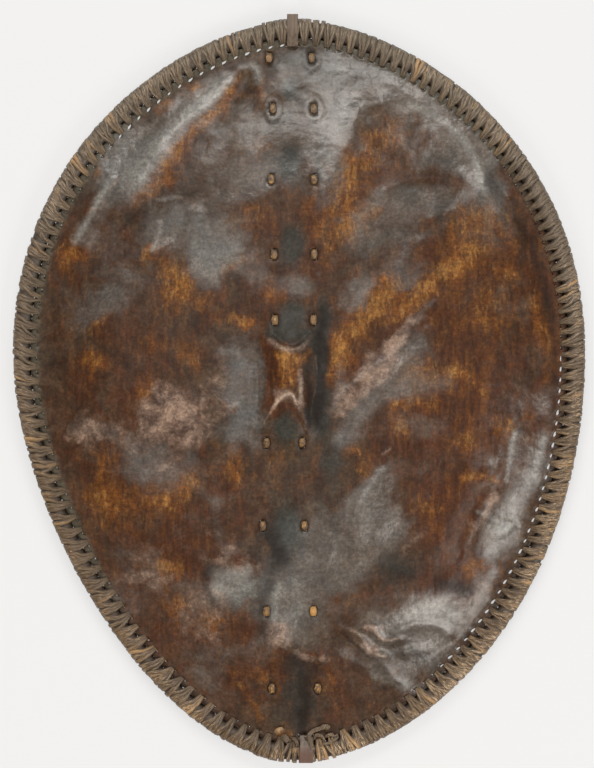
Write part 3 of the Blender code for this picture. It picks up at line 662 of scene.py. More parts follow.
# painted highlights along the crests of folds and ridges, where the coat is also made glossier
paint["crestHighlight"] = ((
    (270, -168, 20, 14, 0.25), (-100, 172, 24, 20, 0.22), (50, 290, 12, 24, 0.25),
    (272, -182, 22, 22, 0.45), (300, -105, 10, 20, 0.3, -12), (-88, -272, 22, 14, 0.35),
    (248, 298, 9, 20, 0.3, 24), (175, -340, 34, 14, 0.45, 25), (110, -385, 22, 7, 0.4, -40),
    (240, -262, 16, 12, 0.35, 45), (-115, 176, 26, 24, 0.25), (100, -165, 22, 24, 0.3),
    (270, -168, 18, 14, 0.25), (140, 402, 26, 8, 0.3, -30), (-12, -290, 20, 34, 0.45),
    (-218, 305, 16, 26, 0.5, -35), (-85, -268, 20, 16, 0.3), (262, -192, 20, 14, 0.3, 20),
    (-222, 298, 16, 26, 0.6, -35), (-100, 178, 22, 20, 0.35), (-80, -268, 20, 16, 0.6),
    (215, 325, 14, 14, 0.5), (250, 292, 8, 20, 0.4, 24), (170, -310, 24, 12, 0.35, 20),
), (
    (10.5, 0.8, -216, 276, -199, 310, -179, 338, -151, 364, -122, 387, -94, 412),
    (7, 0.5, -78, 430, -60, 428, -54, 408),
    (6, 0.8, 150, 380, 186, 362, 212, 340, 230, 314, 240, 284, 248, 262),
    (6, 0.7, -300, 196, -284, 222, -266, 256, -250, 284), (5, 0.6, -194, 184, -187, 200, -184, 222),
    (4.5, 0.5, -190, 252, -165, 254), (8, 0.8, -112, -272, -106, -258, -90, -248, -68, -240),
    (6.5, 0.75, -26, -262, -34, -290, -30, -322, -16, -334), (10, 0.4, -2, -262, 2, -296),
    (12, 0.5, 130, -318, 152, -298, 178, -290, 206, -300), (3.5, 0.7, 238, -164, 262, -174, 294, -184),
    (12, 0.35, 252, -190, 282, -198), (6, 0.7, 328, -66, 318, -100, 304, -134),
    (4, 0.8, 290, -58, 284, -80, 276, -122), (5, 0.45, 46, -26, 62, 0, 88, 22, 118, 44, 138, 64),
    (6, 0.45, 84, -148, 98, -124, 116, -104), (8, 0.4, 82, -196, 90, -168), (9, 0.4, -98, 50, -84, 46),
    (5, 0.6, -92, -22, -82, -18), (6, 0.35, 64, 376, 50, 330, 40, 300),
))
# pale scratches beside the boss, and painted highlights on the boss's lips, on its right edge and on fold
# edges at the lower right
paint["scratchesAndHighlights"] = ((), (
    (1.1, 0.62, 21, 44, 24.5, 18, 20, -12, 17, -36), (0.9, 0.5, 27, 36, 27.5, 10, 24, -16),
    (3.6, 0.5, -34, 60, -26, 55, -12, 52, 2, 55, 10, 62), (3.4, 0.62, 2, 12, 3, -2, 3, -16),
    (2, 1, -32, -22, -25, -13.5, -16, -7.5, -8, -8, -3, -20),
    (1.6, 0.5, 88, -320, 98, -318, 106, -330, 114, -336), (1.4, 0.5, 86, -338, 96, -350, 108, -356),
))
paint["stained"] = ((
    (-4, -405, 22, 36, 0.6), (-6, -370, 18, 10, 0.3), (-12, 69, 22, 10, 0.9), (0, 440, 50, 20, 0.6),
    (60, 412, 40, 18, 0.45, -8), (-20, 362, 24, 20, 0.4), (195, 302, 34, 14, 0.6, -14),
    (160, 262, 26, 12, 0.5, 20), (135, 262, 18, 14, 0.5), (100, 195, 20, 12, 0.45, 40),
    (-222, 318, 12, 22, 0.35, -35), (-112, 190, 18, 26, 0.5), (45, -105, 16, 26, 0.5),
    (-30, -208, 20, 20, 0.8), (130, -242, 30, 16, 0.5), (-12, 80, 20, 12, 1), (30, 80, 10, 36, 1, -16),
    (30, 20, 9, 50, 1.1), (28, -40, 10, 30, 0.8), (-16, -46, 18, 12, 0.9), (190, 226, 14, 8, 0.7, 50),
    (-60, 110, 6, 50, 0.4), (145, 352, 10, 18, 0.5), (30, -95, 30, 20, 0.5), (40, -160, 20, 34, 0.5),
    (4, -430, 40, 30, 0.6), (-190, -170, 14, 30, 0.4), (130, -240, 30, 14, 0.5),
    (-150, 290, 16, 10, 0.4, 40), (-235, 225, 20, 10, 0.5, 40), (0, -380, 12, 40, 0.5),
    (-130, -130, 12, 26, 0.4),
), ())
# dark strokes: partly dirt, partly painted shade in the troughs beside the boss, along the stave's edges, by
# the right rim and in the hollow at the bottom
paint["dirtAndShade"] = ((), (
    (9, 0.35, -14, -372, -10, -392, -12, -412), (9, 0.7, 12, -388, 10, -420, 8, -446),
    (6, 0.5, 30, -368, 36, -386), (5, 0.35, -60, -380, -56, -410, -48, -436),
    (14, 0.9, -44, -190, -30, -208, -22, -228), (13, 0.5, 108, -236, 150, -246),
    (12, 0.4, -140, -222, -126, -240), (11, 0.55, 20, -370, -14, -358), (13, 0.9, 190, -258, 222, -268),
    (9, 0.5, 330, 130, 330, 100), (10, 0.4, -100, -125, -130, -120),
    (11, 0.55, -36, -242, -44, -272, -50, -300, -46, -330), (8, 0.55, -116, -236, -128, -262, -110, -292),
    (8, 1, 2, -436, 3, -452, 5, -468), (5, 0.4, -12, -425, -14, -445), (5, 0.5, 2, -380, 3, -410),
    (11, 0.75, 32, 104, 29, 70, 31, 36), (8.5, 1, 33, 50, 29, 10, 25, -50),
    (5, 0.8, 14, 44, 11, 20, 14, -10, 13, -46), (3, 0.7, 60, -325, 74, -340, 92, -356),
    (3.5, 0.5, 250, -150, 238, -172), (8, 0.5, 126, -352, 150, -352, 176, -362),
    (1.6, 0.5, 24, 430, 24, 300, 24, 160), (1.6, 0.25, -26, 430, -28, 250, -28, 120),
    (9, 0.6, 340, 10, 338, 90, 318, 170, 284, 250), (12, 0.55, -262, 50, -236, 44, -226, 30),
))


def dishReach():
    ring = rimLoop(720, hide["dishInset"]) - np.array((hide["bossX"], 0.0))
    return np.arctan2(ring[:, 1], ring[:, 0]), np.hypot(ring[:, 0], ring[:, 1])


dishAngles, dishRadii = dishReach()


def skinMiddle(x, y):
    # height of the middle of the skin's thickness, with its boss and without relief
    aside = x - hide["bossX"]
    share = np.hypot(aside, y) / np.interp(np.arctan2(y, aside), dishAngles, dishRadii, period=math.tau)
    depth = 1.0 - np.minimum(share, 1.0)
    z = hide["edgeZ"] + hide["shoulderRise"] * smoothStep(0.0, hide["shoulderSpan"], depth)
    z = z + hide["crownRise"] * (1.0 - (1.0 - depth) ** 2)
    waist = 1.0 - hide["bossWaist"] * np.exp(-((y - 0.002) / 0.026) ** 2)
    sides = np.exp(-(np.abs(aside) / (hide["bossHalfWidth"] * waist)) ** 2.2)
    topY, run = hide["bossTopY"] + aside ** 2 / hide["upperScoopCurve"], hide["upperScoopRun"] / 2
    upper = 1.0 - smoothStep(topY - run, topY + run, y)
    halfWidth = np.where(aside < 0, hide["lowerScoopHalfWidth"], hide["lowerScoopRightWidth"])
    crestY = hide["bossCrestY"] - hide["lowerScoopDrop"] * (np.abs(aside) / halfWidth) ** 1.4
    lower = 0.5 * smoothStep(crestY - hide["lowerLipRun"], crestY, y)
    lower += 0.5 * smoothStep(crestY - hide["lowerScoopRun"], crestY - 0.004, y)
    run = hide["bossEndRun"] / 2
    ends = (1.0 - smoothStep(hide["bossHeadY"] - run, hide["bossHeadY"] + run, y))
    ends = ends * smoothStep(hide["bossFootY"] - 2.6 * run, hide["bossFootY"] + run, y)
    boss = sides * upper * lower * ends
    # the scoops above and below it still rise a little
    floors = smoothStep(-0.10, -0.045, y) * (1.0 - smoothStep(0.058, 0.106, y))
    floors = hide["scoopFloor"] * (floors * np.exp(-(aside / 0.026) ** 2))
    joined = 0.5 * (boss + floors + np.sqrt((boss - floors) ** 2 + 0.06 * np.minimum(boss + floors, 0.5)))
    return z + hide["bossRise"] * joined


def nearRim(x, y):
    # distance in from the rim's outline, roughly
    angle = np.arctan2(y, x - hide["bossX"])
    return (np.interp(angle, dishAngles, dishRadii, period=math.tau) + hide["dishInset"]
            - np.hypot(x - hide["bossX"], y))


# height up the shield of each lashing, and where its left and right stitches stand
lashingPlaces = []
for number in range(1, 10):
    low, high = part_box(f"stave_lashing_{number}")
    left, right = low.x + hide["stitchHalfWidth"], high.x - hide["stitchHalfWidth"]
    lashingPlaces.append(((low.y + high.y) / 2, left, right))
stitchCentres = [(x, y) for y, *pair in lashingPlaces for x in pair]


def painted(x, y, patches, strokes):
    # ovals and strokes whose outlines wander
    u = x + 0.010 * cloud(x, y, 0.055, 91) + 0.004 * cloud(x, y, 0.016, 93)
    v = y + 0.010 * cloud(x, y, 0.055, 95) + 0.004 * cloud(x, y, 0.016, 97)
    bare = np.ones_like(x)
    for middleX, middleY, reachX, reachY, strength, *turn in patches:
        oval = patch(u, v, middleX, middleY, 1.3 * reachX, 1.3 * reachY, *turn)
        bare *= 1.0 - np.minimum(0.92 * strength * oval, 0.98)
    u, v = 0.85 * x + 0.15 * u, 0.85 * y + 0.15 * v
    for width, strength, *path in strokes:
        bare *= 1.0 - np.minimum(strength * alongPath(u, v, path, width), 0.98)
    return 1.0 - bare


def relief(x, y):
    # what the skin's front adds to its plain shape
    z = np.zeros_like(x)
    for height, size, seed in (hide["swell"], hide["ripple"], hide["crinkle"]):
        z += height * cloud(x, y, size, seed)
    for height, width, outerWidth, *path in folds:
        z += height / 1000 * alongPath(x, y, path, width, outerWidth)
    for middleX, middleY, reachX, reachY, depth, *turn in hollows:
        z -= depth / 1000 * patch(x, y, middleX, middleY, reachX, reachY, *turn)
    for *oval, depth, _ in dents:
        z -= depth / 1000 * patch(x, y, *oval)
    z += 0.0012 * painted(x, y, *paint["scuffsAndHighlights"]) * cloud(x, y, 0.018, 51)
    edge = nearRim(x, y)
    z *= smoothStep(0.030, 0.062, edge)
    z += 0.0006 * smoothStep(0.060, 0.030, edge) * cloud(x, y, 0.030, 61)
    for middleX, middleY in stitchCentres:
        lip = hide["endLipHeight"] if abs(middleY) > hide["endLipY"] else hide["lipHeight"]
        away = np.hypot(x - middleX, (y - middleY) / 1.5)
        z += lip * np.exp(-((away - hide["lipRadius"]) / hide["lipReach"]) ** 2)
        z -= hide["dipDepth"] * np.exp(-(away / hide["dipReach"]) ** 2)
    return z


def halfSkin(x, y):
    # half the skin's thickness, seen straight down
    step = 0.003
    rise = (skinMiddle(x + step, y) - skinMiddle(x - step, y)) / (2 * step)
    climb = (skinMiddle(x, y + step) - skinMiddle(x, y - step)) / (2 * step)
    return hide["thickness"] / 2 * np.minimum(np.sqrt(1.0 + rise ** 2 + climb ** 2), 1.3)


def skinFront(x, y):
    return skinMiddle(x, y) + halfSkin(x, y) + relief(x, y)


def skinBack(x, y):
    besideStave = 1.0 - smoothStep(0.022, 0.050, np.abs(x - hide["bossX"]))
    return skinMiddle(x, y) - halfSkin(x, y) + 0.85 * relief(x, y) * (1.0 - besideStave)


def makePunchedHoles():
    # outlines of the holes along the hide's edge
    tree, given, result = newGroup("GeometryNodeTree", "punchedHoles", dict(rimSockets, **{
        "Inset": 0.02, "Length": 0.0034, "Width": 0.0013, "Gape": 0.0008, "Outline Points": 12, "Seed": 3,
        "Material": "Material"}), meshOut)
    place = placeOf(tree, given, sums(tree, "ADD", put(tree, "GeometryNodeInputIndex").outputs[0], 0.5))
    gape = useGroup(tree, gaping, {"Inward": place["Inward"]})
    wider = product(tree, gape["Open"], given["Gape"])
    uneven = put(tree, "FunctionNodeRandomValue", {2: 0.8, 3: 1.2, "Seed": given["Seed"]}).outputs[1]
    inset = sums(tree, "ADD", wider, given["Inset"])
    centre = vectorSums(tree, "ADD", place["Position"], stretch(tree, place["Inward"], inset))
    points = put(tree, "GeometryNodePoints", {"Count": given["Stitches"], "Position": centre}).outputs[0]
    ring = put(tree, "GeometryNodeMeshCircle", {"Vertices": given["Outline Points"], "Radius": 1.0})
    turned = put(tree, "ShaderNodeVectorRotate", {"Vector": place["Inward"], "Angle": gape["Turn"]},
                 rotation_type="Z_AXIS").outputs[0]
    facing = put(tree, "FunctionNodeAlignRotationToVector", {"Vector": turned}, axis="X", pivot_axis="Z")
    size = vectorOf(tree, X=product(tree, sums(tree, "ADD", given["Width"], wider), uneven),
                    Y=product(tree, given["Length"], uneven), Z=1.0)
    rings = put(tree, "GeometryNodeInstanceOnPoints", {
        "Points": points, "Instance": ring.outputs[0], "Rotation": facing.outputs[0], "Scale": size})
    return endTree(tree, rings.outputs[0], given["Material"], result)


def holeLoops(material):
    ringPoints = 12
    guide = grow("punchedHoles", rimPath, makePunchedHoles(), dict(rimValues, **{
        "Inset": rim["holeInset"] - rim["rodInset"], "Length": rim["holeLength"], "Width": rim["holeWidth"],
        "Gape": rim["gape"], "Outline Points": ringPoints, "Material": material}))
    places = np.array([v.co for v in guide.data.vertices])[:, :2]
    bpy.data.objects.remove(guide)
    return list(places.reshape(-1, ringPoints, 2))


def boxLoop(x, low, high, halfWidth, across, up):
    # a rectangle's points, evenly spread
    left, right = x - halfWidth, x + halfWidth
    corners = np.array([(left, low), (right, low), (right, high), (left, high)])
    sides = zip(corners, np.roll(corners, -1, axis=0), (across, up, across, up))
    return np.vstack([start + (end - start) * np.arange(count)[:, None] / count
                      for start, end, count in sides])


def slitLoops():
    # two slits for each stitch of the lashings
    loops = []
    for y, *pair in lashingPlaces:
        for way in (-1, 1):
            row = y + way * lashing["stitchLength"] / 2
            ends = sorted((row - way * hide["slitIn"], row + way * hide["slitOut"]))
            loops += [boxLoop(x, *ends, hide["slitHalfWidth"], 4, 1) for x in pair]
    return loops


def slotLoops(near, far):
    # the slots that the stave's ends come through, between two distances in from the rim
    low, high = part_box("rim_lacing")
    return [boxLoop(hide["topSlotX"], high.y - far, high.y - near, hide["topSlotHalfWidth"], 8, 3),
            boxLoop(hide["bottomSlotX"], low.y + near, low.y + far, hide["bottomSlotHalfWidth"], 8, 3)]


def finderOf(places):
    finder = kdtree.KDTree(len(places))
    for i, (x, y) in enumerate(places):
        finder.insert((x, y, 0.0), i)
    finder.balance()
    return finder


def panel(loops, spacing, clear, finer=None):
    # triangles between the outer loop and the holes in it; the loops' own points come first
    border = np.vstack(loops)
    owner = np.concatenate([np.full(len(loop), i) for i, loop in enumerate(loops)])
    angles, reach = np.arctan2(loops[0][:, 1], loops[0][:, 0]), np.hypot(*loops[0].T)

    def outerReach(places):
        # the outer loop's distance from the middle, in each place's direction
        return np.interp(np.arctan2(places[:, 1], places[:, 0]), angles, reach, period=math.tau)

    def staggered(low, high, spacing):
        row = np.arange(low[0], high[0], spacing)
        return np.vstack([np.column_stack((row + (i % 2) * spacing / 2, np.full(len(row), y)))
                          for i, y in enumerate(np.arange(low[1], high[1], spacing * math.sqrt(0.75)))])

    grid = staggered(loops[0].min(axis=0), loops[0].max(axis=0), spacing)
    if finer:
        low, high = np.array(finer[0]), np.array(finer[1])
        outside = ((grid < low - spacing / 2) | (grid > high + spacing / 2)).any(axis=1)
        grid = np.vstack((grid[outside], staggered(low, high, finer[2])))
    grid = grid[np.hypot(*grid.T) < outerReach(grid) - clear]
    near, centres = finderOf(border), [loop.mean(axis=0) for loop in loops[1:]]
    holes = finderOf(centres)
    radii = [np.linalg.norm(loop - centre, axis=1).max() for loop, centre in zip(loops[1:], centres)]
    kept = []
    for x, y in grid:
        _, hole, away = holes.find((x, y, 0.0))
        if away > radii[hole] + 0.3 * clear and near.find((x, y, 0.0))[2] > clear:
            kept.append((x, y))
    points = np.vstack((border, kept))
    edges, first = [], 0
    for loop in loops:
        edges += [(first + i, first + (i + 1) % len(loop)) for i in range(len(loop))]
        first += len(loop)
    _, _, faces, origins, _, _ = delaunay_2d_cdt([Vector(p) for p in points], edges, [], 0, 1e-7)
    faces = np.array([group[0] for group in origins])[np.array(faces)]
    owners = np.where(faces < len(border), owner[np.minimum(faces, len(border) - 1)], -1)
    sameLoop = (owners[:, 0] == owners[:, 1]) & (owners[:, 1] == owners[:, 2]) & (owners[:, 0] >= 0)
    centre = points[faces].mean(axis=1)
    drop = sameLoop & ((owners[:, 0] > 0) | (np.hypot(*centre.T) > outerReach(centre)))
    return points, faces[~drop]


def makeHide(frontMaterial, backMaterial):
    edgeCount = 5 * rim["stitches"]
    edge = rimLoop(edgeCount, rim["cutEdgeInset"])
    edge += hide["edgeWander"] * np.column_stack([cloud(*edge.T, 0.02, seed) for seed in (71, 73)])
    frontSlots, backSlots = slotLoops(*hide["frontSlots"]), slotLoops(*hide["backSlots"])
    centres = [loop.mean(axis=0) for loop in frontSlots + backSlots]
    holes = [loop for loop in holeLoops(frontMaterial)
             if min(np.linalg.norm(loop.mean(axis=0) - centre) for centre in centres) > hide["clearOfSlots"]]
    loops = [edge] + holes + slitLoops()
    front, frontFaces = panel(loops + frontSlots, hide["frontSpacing"], hide["frontClear"],
                              (*hide["bossArea"], hide["bossSpacing"]))
    back, backFaces = panel(loops + backSlots, hide["backSpacing"], hide["backClear"])
    frontZ, backZ = skinFront(*front.T), skinBack(*back.T)
    # the cut edge has a ring at half its thickness, a little proud
    middle = rimLoop(edgeCount, rim["cutEdgeInset"] - hide["edgeWander"])
    middleZ = (frontZ[:edgeCount] + backZ[:edgeCount]) / 2
    x, y = np.vstack((front, back, middle)).T
    backStart, middleStart = len(front), len(front) + len(back)
    walls, first = [], 0
    for number, loop in enumerate(loops + frontSlots):
        for i in range(len(loop)):
            j = (i + 1) % len(loop)
            top, under = (first + i, first + j), (backStart + first + j, backStart + first + i)
            if number == 0:
                walls.append((*top, middleStart + j, middleStart + i))
                walls.append((middleStart + i, middleStart + j, *under))
            else:
                walls.append((*top, *under))
        first += len(loop)
    faces = [*frontFaces, *(backFaces[:, ::-1] + backStart), *walls]
    piece = plainObject("hide_skin", np.column_stack((x, y, np.concatenate((frontZ, backZ, middleZ)))), faces)
    piece.data.materials.append(frontMaterial)
    piece.data.materials.append(backMaterial)
    slots = np.ones(len(faces), np.int32)
    slots[:len(frontFaces)] = 0
    piece.data.polygons.foreach_set("material_index", slots)
    faceOutwards(piece)

    finishes = {name: painted(x, y, *shapes) for name, shapes in paint.items()}
    for middleX, middleY, reachX, reachY, _, stain in dents:
        dent = stain * patch(x, y, middleX, middleY, 1.15 * reachX, 1.15 * reachY)
        finishes["stained"] = np.maximum(finishes["stained"], dent)
    # painted shade in a ring round each stitch, where the skin dips
    for middleX, middleY in stitchCentres:
        away = np.hypot(x - middleX, (y - middleY) / 1.45)
        shadeAndGrime = 0.62 * np.exp(-((away - 0.0045) / 0.0030) ** 2)
        finishes["dirtAndShade"] = np.maximum(finishes["dirtAndShade"], shadeAndGrime)
    inset = nearRim(x, y)
    # painted shade along the cut edge, under the wrapped rim
    finishes["dirtAndShade"] = np.maximum(finishes["dirtAndShade"], 0.6 * smoothStep(0.0285, 0.0262, inset))
    finishes["rimEdge"] = smoothStep(0.037, 0.030, inset) * smoothStep(0.4, -0.3, (x - y) / 0.5)
    for name, values in finishes.items():
        keepValues(piece, name, values)
    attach(piece, body)
    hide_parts("hide")
    print("hide:", len(front), "front points,", len(faces), "faces")


def hideFrontFinish():
    material, tree, shader = newMaterial("hideFront", Specular_IOR_Level=0.08, Coat_Roughness=0.29)
    place = objectPlace(tree)

    def stroked(turn, scale):
        inputs = {"Vector": place, "Rotation": (0.0, 0.0, turn), "Scale": scale}
        return put(tree, "ShaderNodeMapping", inputs).outputs[0]

    clouds = noise(tree, place, 9.0, 9.0, 0.62, 0.4)
    mottle = noise(tree, place, 42.0, 7.0, 0.68, 0.4)
    speck = noise(tree, place, 230.0, 4.0, 0.7, 0.4)
    upright = noise(tree, stroked(0.0, (190.0, 22.0, 60.0)), 1.0, 5.0, 0.65, 0.3)
    level = noise(tree, stroked(0.08, (24.0, 260.0, 60.0)), 1.0, 5.0, 0.65, 0.4)
    scraped = noise(tree, stroked(0.75, (26.0, 150.0, 60.0)), 1.0, 5.0, 0.62, 0.6)

    dark = mixed(tree, ramp(tree, mottle, 0.3, 0.7), (0.0195, 0.0128, 0.0082), (0.049, 0.0340, 0.0225))
    red = mixed(tree, ramp(tree, upright, 0.3, 0.7), (0.023, 0.0070, 0.0028), (0.065, 0.0212, 0.0074))
    rust = mixed(tree, ramp(tree, level, 0.3, 0.7), (0.039, 0.0118, 0.0036), (0.118, 0.040, 0.0085))
    # the painted sheen's grey colour, lighter along scraped streaks
    paintedSheenColour = mixed(tree, ramp(tree, clouds, 0.40, 0.60), (0.045, 0.0475, 0.0455), (0.068, 0.053, 0.041))
    paintedSheenColour = mixed(tree, ramp(tree, scraped, 0.30, 0.85, 0.0, 0.7), paintedSheenColour, (0.104, 0.094, 0.083))
    # pale grey colour of the painted crest highlights
    crestHighlightColour = mixed(tree, scraped, (0.100, 0.100, 0.092), (0.190, 0.184, 0.166))
    # pale colour of the scuffs and of the painted highlights among them
    scuffAndHighlightColour = mixed(tree, ramp(tree, mottle, 0.35, 0.65), (0.062, 0.038, 0.029), (0.215, 0.150, 0.112))

    reddened = sums(tree, "MULTIPLY_ADD", attributeValue(tree, "reddened"), 0.62, product(tree, clouds, 0.46))
    reddened = ragged(tree, reddened, place, 26.0, 1.5, 0.42)
    rubbed = product(tree, attributeValue(tree, "reddened"), 0.07)
    rubbed = sums(tree, "MULTIPLY_ADD", attributeValue(tree, "rubbed"), 0.78, rubbed)
    drawn = stroked(0.0, (1.5, 0.55, 1.0))
    orange = ragged(tree, rubbed, drawn, 34.0, 1.7, 0.28)
    strokes = sums(tree, "MAXIMUM", level, upright)
    golden = sums(tree, "MULTIPLY_ADD", strokes, 0.30, product(tree, rubbed, 0.52))
    golden = ragged(tree, golden, drawn, 74.0, 1.9, 0.32)
    bright = ragged(tree, product(tree, rubbed, 0.66), drawn, 120.0, 1.5, 0.20)
    # where sheen is painted into the colour and the coat is made glossier
    glossAndPaintedSheen = sums(tree, "MULTIPLY_ADD", attributeValue(tree, "glossAndPaintedSheen"), 1.18, -0.13)
    glossAndPaintedSheen = ragged(tree, glossAndPaintedSheen, place, 24.0, 1.6, 0.44)
    crestHighlight, scuffsAndHighlights, scratchesAndHighlights, stained, dirtAndShade, edge = (
        ragged(tree, attributeValue(tree, name), place, *breakUp) for name, *breakUp in (
            ("crestHighlight", 55.0, 0.9, 0.45), ("scuffsAndHighlights", 75.0, 1.3, 0.35), ("scratchesAndHighlights", 130.0, 0.8, 0.40),
            ("stained", 45.0, 0.6, 0.40), ("dirtAndShade", 60.0, 0.7, 0.45), ("rimEdge", 70.0, 0.9, 0.35)))

    # layers over the dark base: besides real colour, the sheen, crest, scuff, scratch and dirt layers carry
    # painted sheen, painted highlights and painted shade
    colour = dark
    for mask, amount, over in (
            (reddened, 0.90, red), (orange, 0.84, rust), (golden, 0.36, (0.180, 0.070, 0.011)),
            (bright, 0.34, (0.34, 0.185, 0.055)), (glossAndPaintedSheen, 0.74, paintedSheenColour), (crestHighlight, 0.70, crestHighlightColour),
            (scuffsAndHighlights, 0.80, scuffAndHighlightColour), (scratchesAndHighlights, 0.66, (0.290, 0.220, 0.170)),
            (stained, 0.80, (0.0210, 0.0245, 0.0215)), (dirtAndShade, 0.78, (0.0070, 0.0052, 0.0042)),
            (edge, 0.7, (0.052, 0.047, 0.033))):
        colour = mixed(tree, product(tree, mask, amount), colour, over)
    colour = mixed(tree, ramp(tree, speck, 0.62, 0.42, 0.0, 0.45), colour, (0.0060, 0.0042, 0.0034))
    colour = mixed(tree, ramp(tree, mottle, 0.58, 0.34, 0.0, 0.35), colour, (0.0070, 0.0046, 0.0034))

    rough = ramp(tree, clouds, 0.3, 0.7, 0.33, 0.44)
    for mask, amount in ((scuffsAndHighlights, 0.14), (stained, 0.08), (orange, 0.08)):
        rough = sums(tree, "MULTIPLY_ADD", mask, amount, rough)
    sheen = sums(tree, "MAXIMUM", glossAndPaintedSheen, product(tree, crestHighlight, 0.8))
    sheen = product(tree, sheen, ramp(tree, scraped, 0.2, 0.7, 0.62, 1.0))
    tree.links.new(sums(tree, "MULTIPLY_ADD", sheen, 0.65, 0.020), shader.inputs["Coat Weight"])
    creases = sums(tree, "ABSOLUTE", sums(tree, "SUBTRACT", noise(tree, place, 19.0, 2.0, 0.5, 0.8), 0.5))
    normal = None
    for height, distance, strength in (
            (noise(tree, place, 34.0), 0.0027, 0.5), (noise(tree, place, 105.0, 4.0, 0.6, 0.2), 0.0016, 0.5),
            (ramp(tree, creases, 0.0, 0.16, smooth=True), 0.0005, 0.25), (upright, 0.0006, 0.35),
            (product(tree, scraped, scuffsAndHighlights), 0.0016, 0.45)):
        normal = bumped(tree, height, distance, strength, normal)
    setLook(tree, shader, colour, rough, normal)
    tree.links.new(normal, shader.inputs["Coat Normal"])
    return material


def hideBackFinish():
    material, tree, shader = newMaterial("hideBack", Specular_IOR_Level=0.3)
    place = objectPlace(tree)
    clouds, nap = noise(tree, place, 9.0, 8.0, 0.6), noise(tree, place, 320.0, 5.0, 0.7)
    colour = mixed(tree, ramp(tree, clouds, 0.3, 0.7), (0.060, 0.036, 0.021), (0.118, 0.080, 0.050))
    colour = mixed(tree, ramp(tree, nap, 0.35, 0.7, 0.0, 0.5), colour, (0.145, 0.105, 0.070))
    # darker patches of grime on the back
    shadeAndGrime = ragged(tree, ramp(tree, clouds, 0.35, 0.75), place, 26.0, 1.0, 0.3)
    colour = mixed(tree, product(tree, shadeAndGrime, 0.5), colour, (0.030, 0.018, 0.011))
    setLook(tree, shader, colour, ramp(tree, nap, 0.3, 0.7, 0.7, 0.9), bumped(tree, nap, 0.0012, 0.6))
    return material


# the rod and the wrapped thong

def ribbon(tree, curves, width, thickness, sides, capped):
    # a flat thong along curves whose points carry "outward" and "breadth"
    outward = named(tree, "outward", "FLOAT_VECTOR")
    curves = put(tree, "GeometryNodeSetCurveNormal", {"Curve": curves, "Normal": outward}, mode="FREE")
    ring = put(tree, "GeometryNodeCurvePrimitiveCircle", {"Resolution": sides, "Radius": 1.0}).outputs[0]
    ring = stored(tree, ring, "across", axisOf(tree, put(tree, "GeometryNodeInputPosition").outputs[0], "Y"))
    halfThickness, halfWidth = (product(tree, size, 0.5) for size in (thickness, width))
    flat = vectorOf(tree, X=halfThickness, Y=halfWidth, Z=1.0)
    ring = put(tree, "GeometryNodeTransform", {"Geometry": ring, "Scale": flat}).outputs[0]
    return put(tree, "GeometryNodeCurveToMesh", {
        "Curve": curves.outputs[0], "Profile Curve": ring, "Fill Caps": capped,
        "Scale": named(tree, "breadth")}).outputs[0]


def makeRodTree():
    tree, given, result = newGroup("GeometryNodeTree", "bentRod", {
        "Rim": "Geometry", "Radius": 0.009, "Sections": 420, "Sides": 16, "Material": "Material"}, meshOut)
    line = put(tree, "GeometryNodeResampleCurve", {"Curve": given["Rim"], "Count": given["Sections"]})
    ring = put(tree, "GeometryNodeCurvePrimitiveCircle", {
        "Resolution": given["Sides"], "Radius": given["Radius"]})
    skin = put(tree, "GeometryNodeCurveToMesh", {"Curve": line.outputs[0], "Profile Curve": ring.outputs[0]})
    return endTree(tree, skin.outputs[0], given["Material"], result)


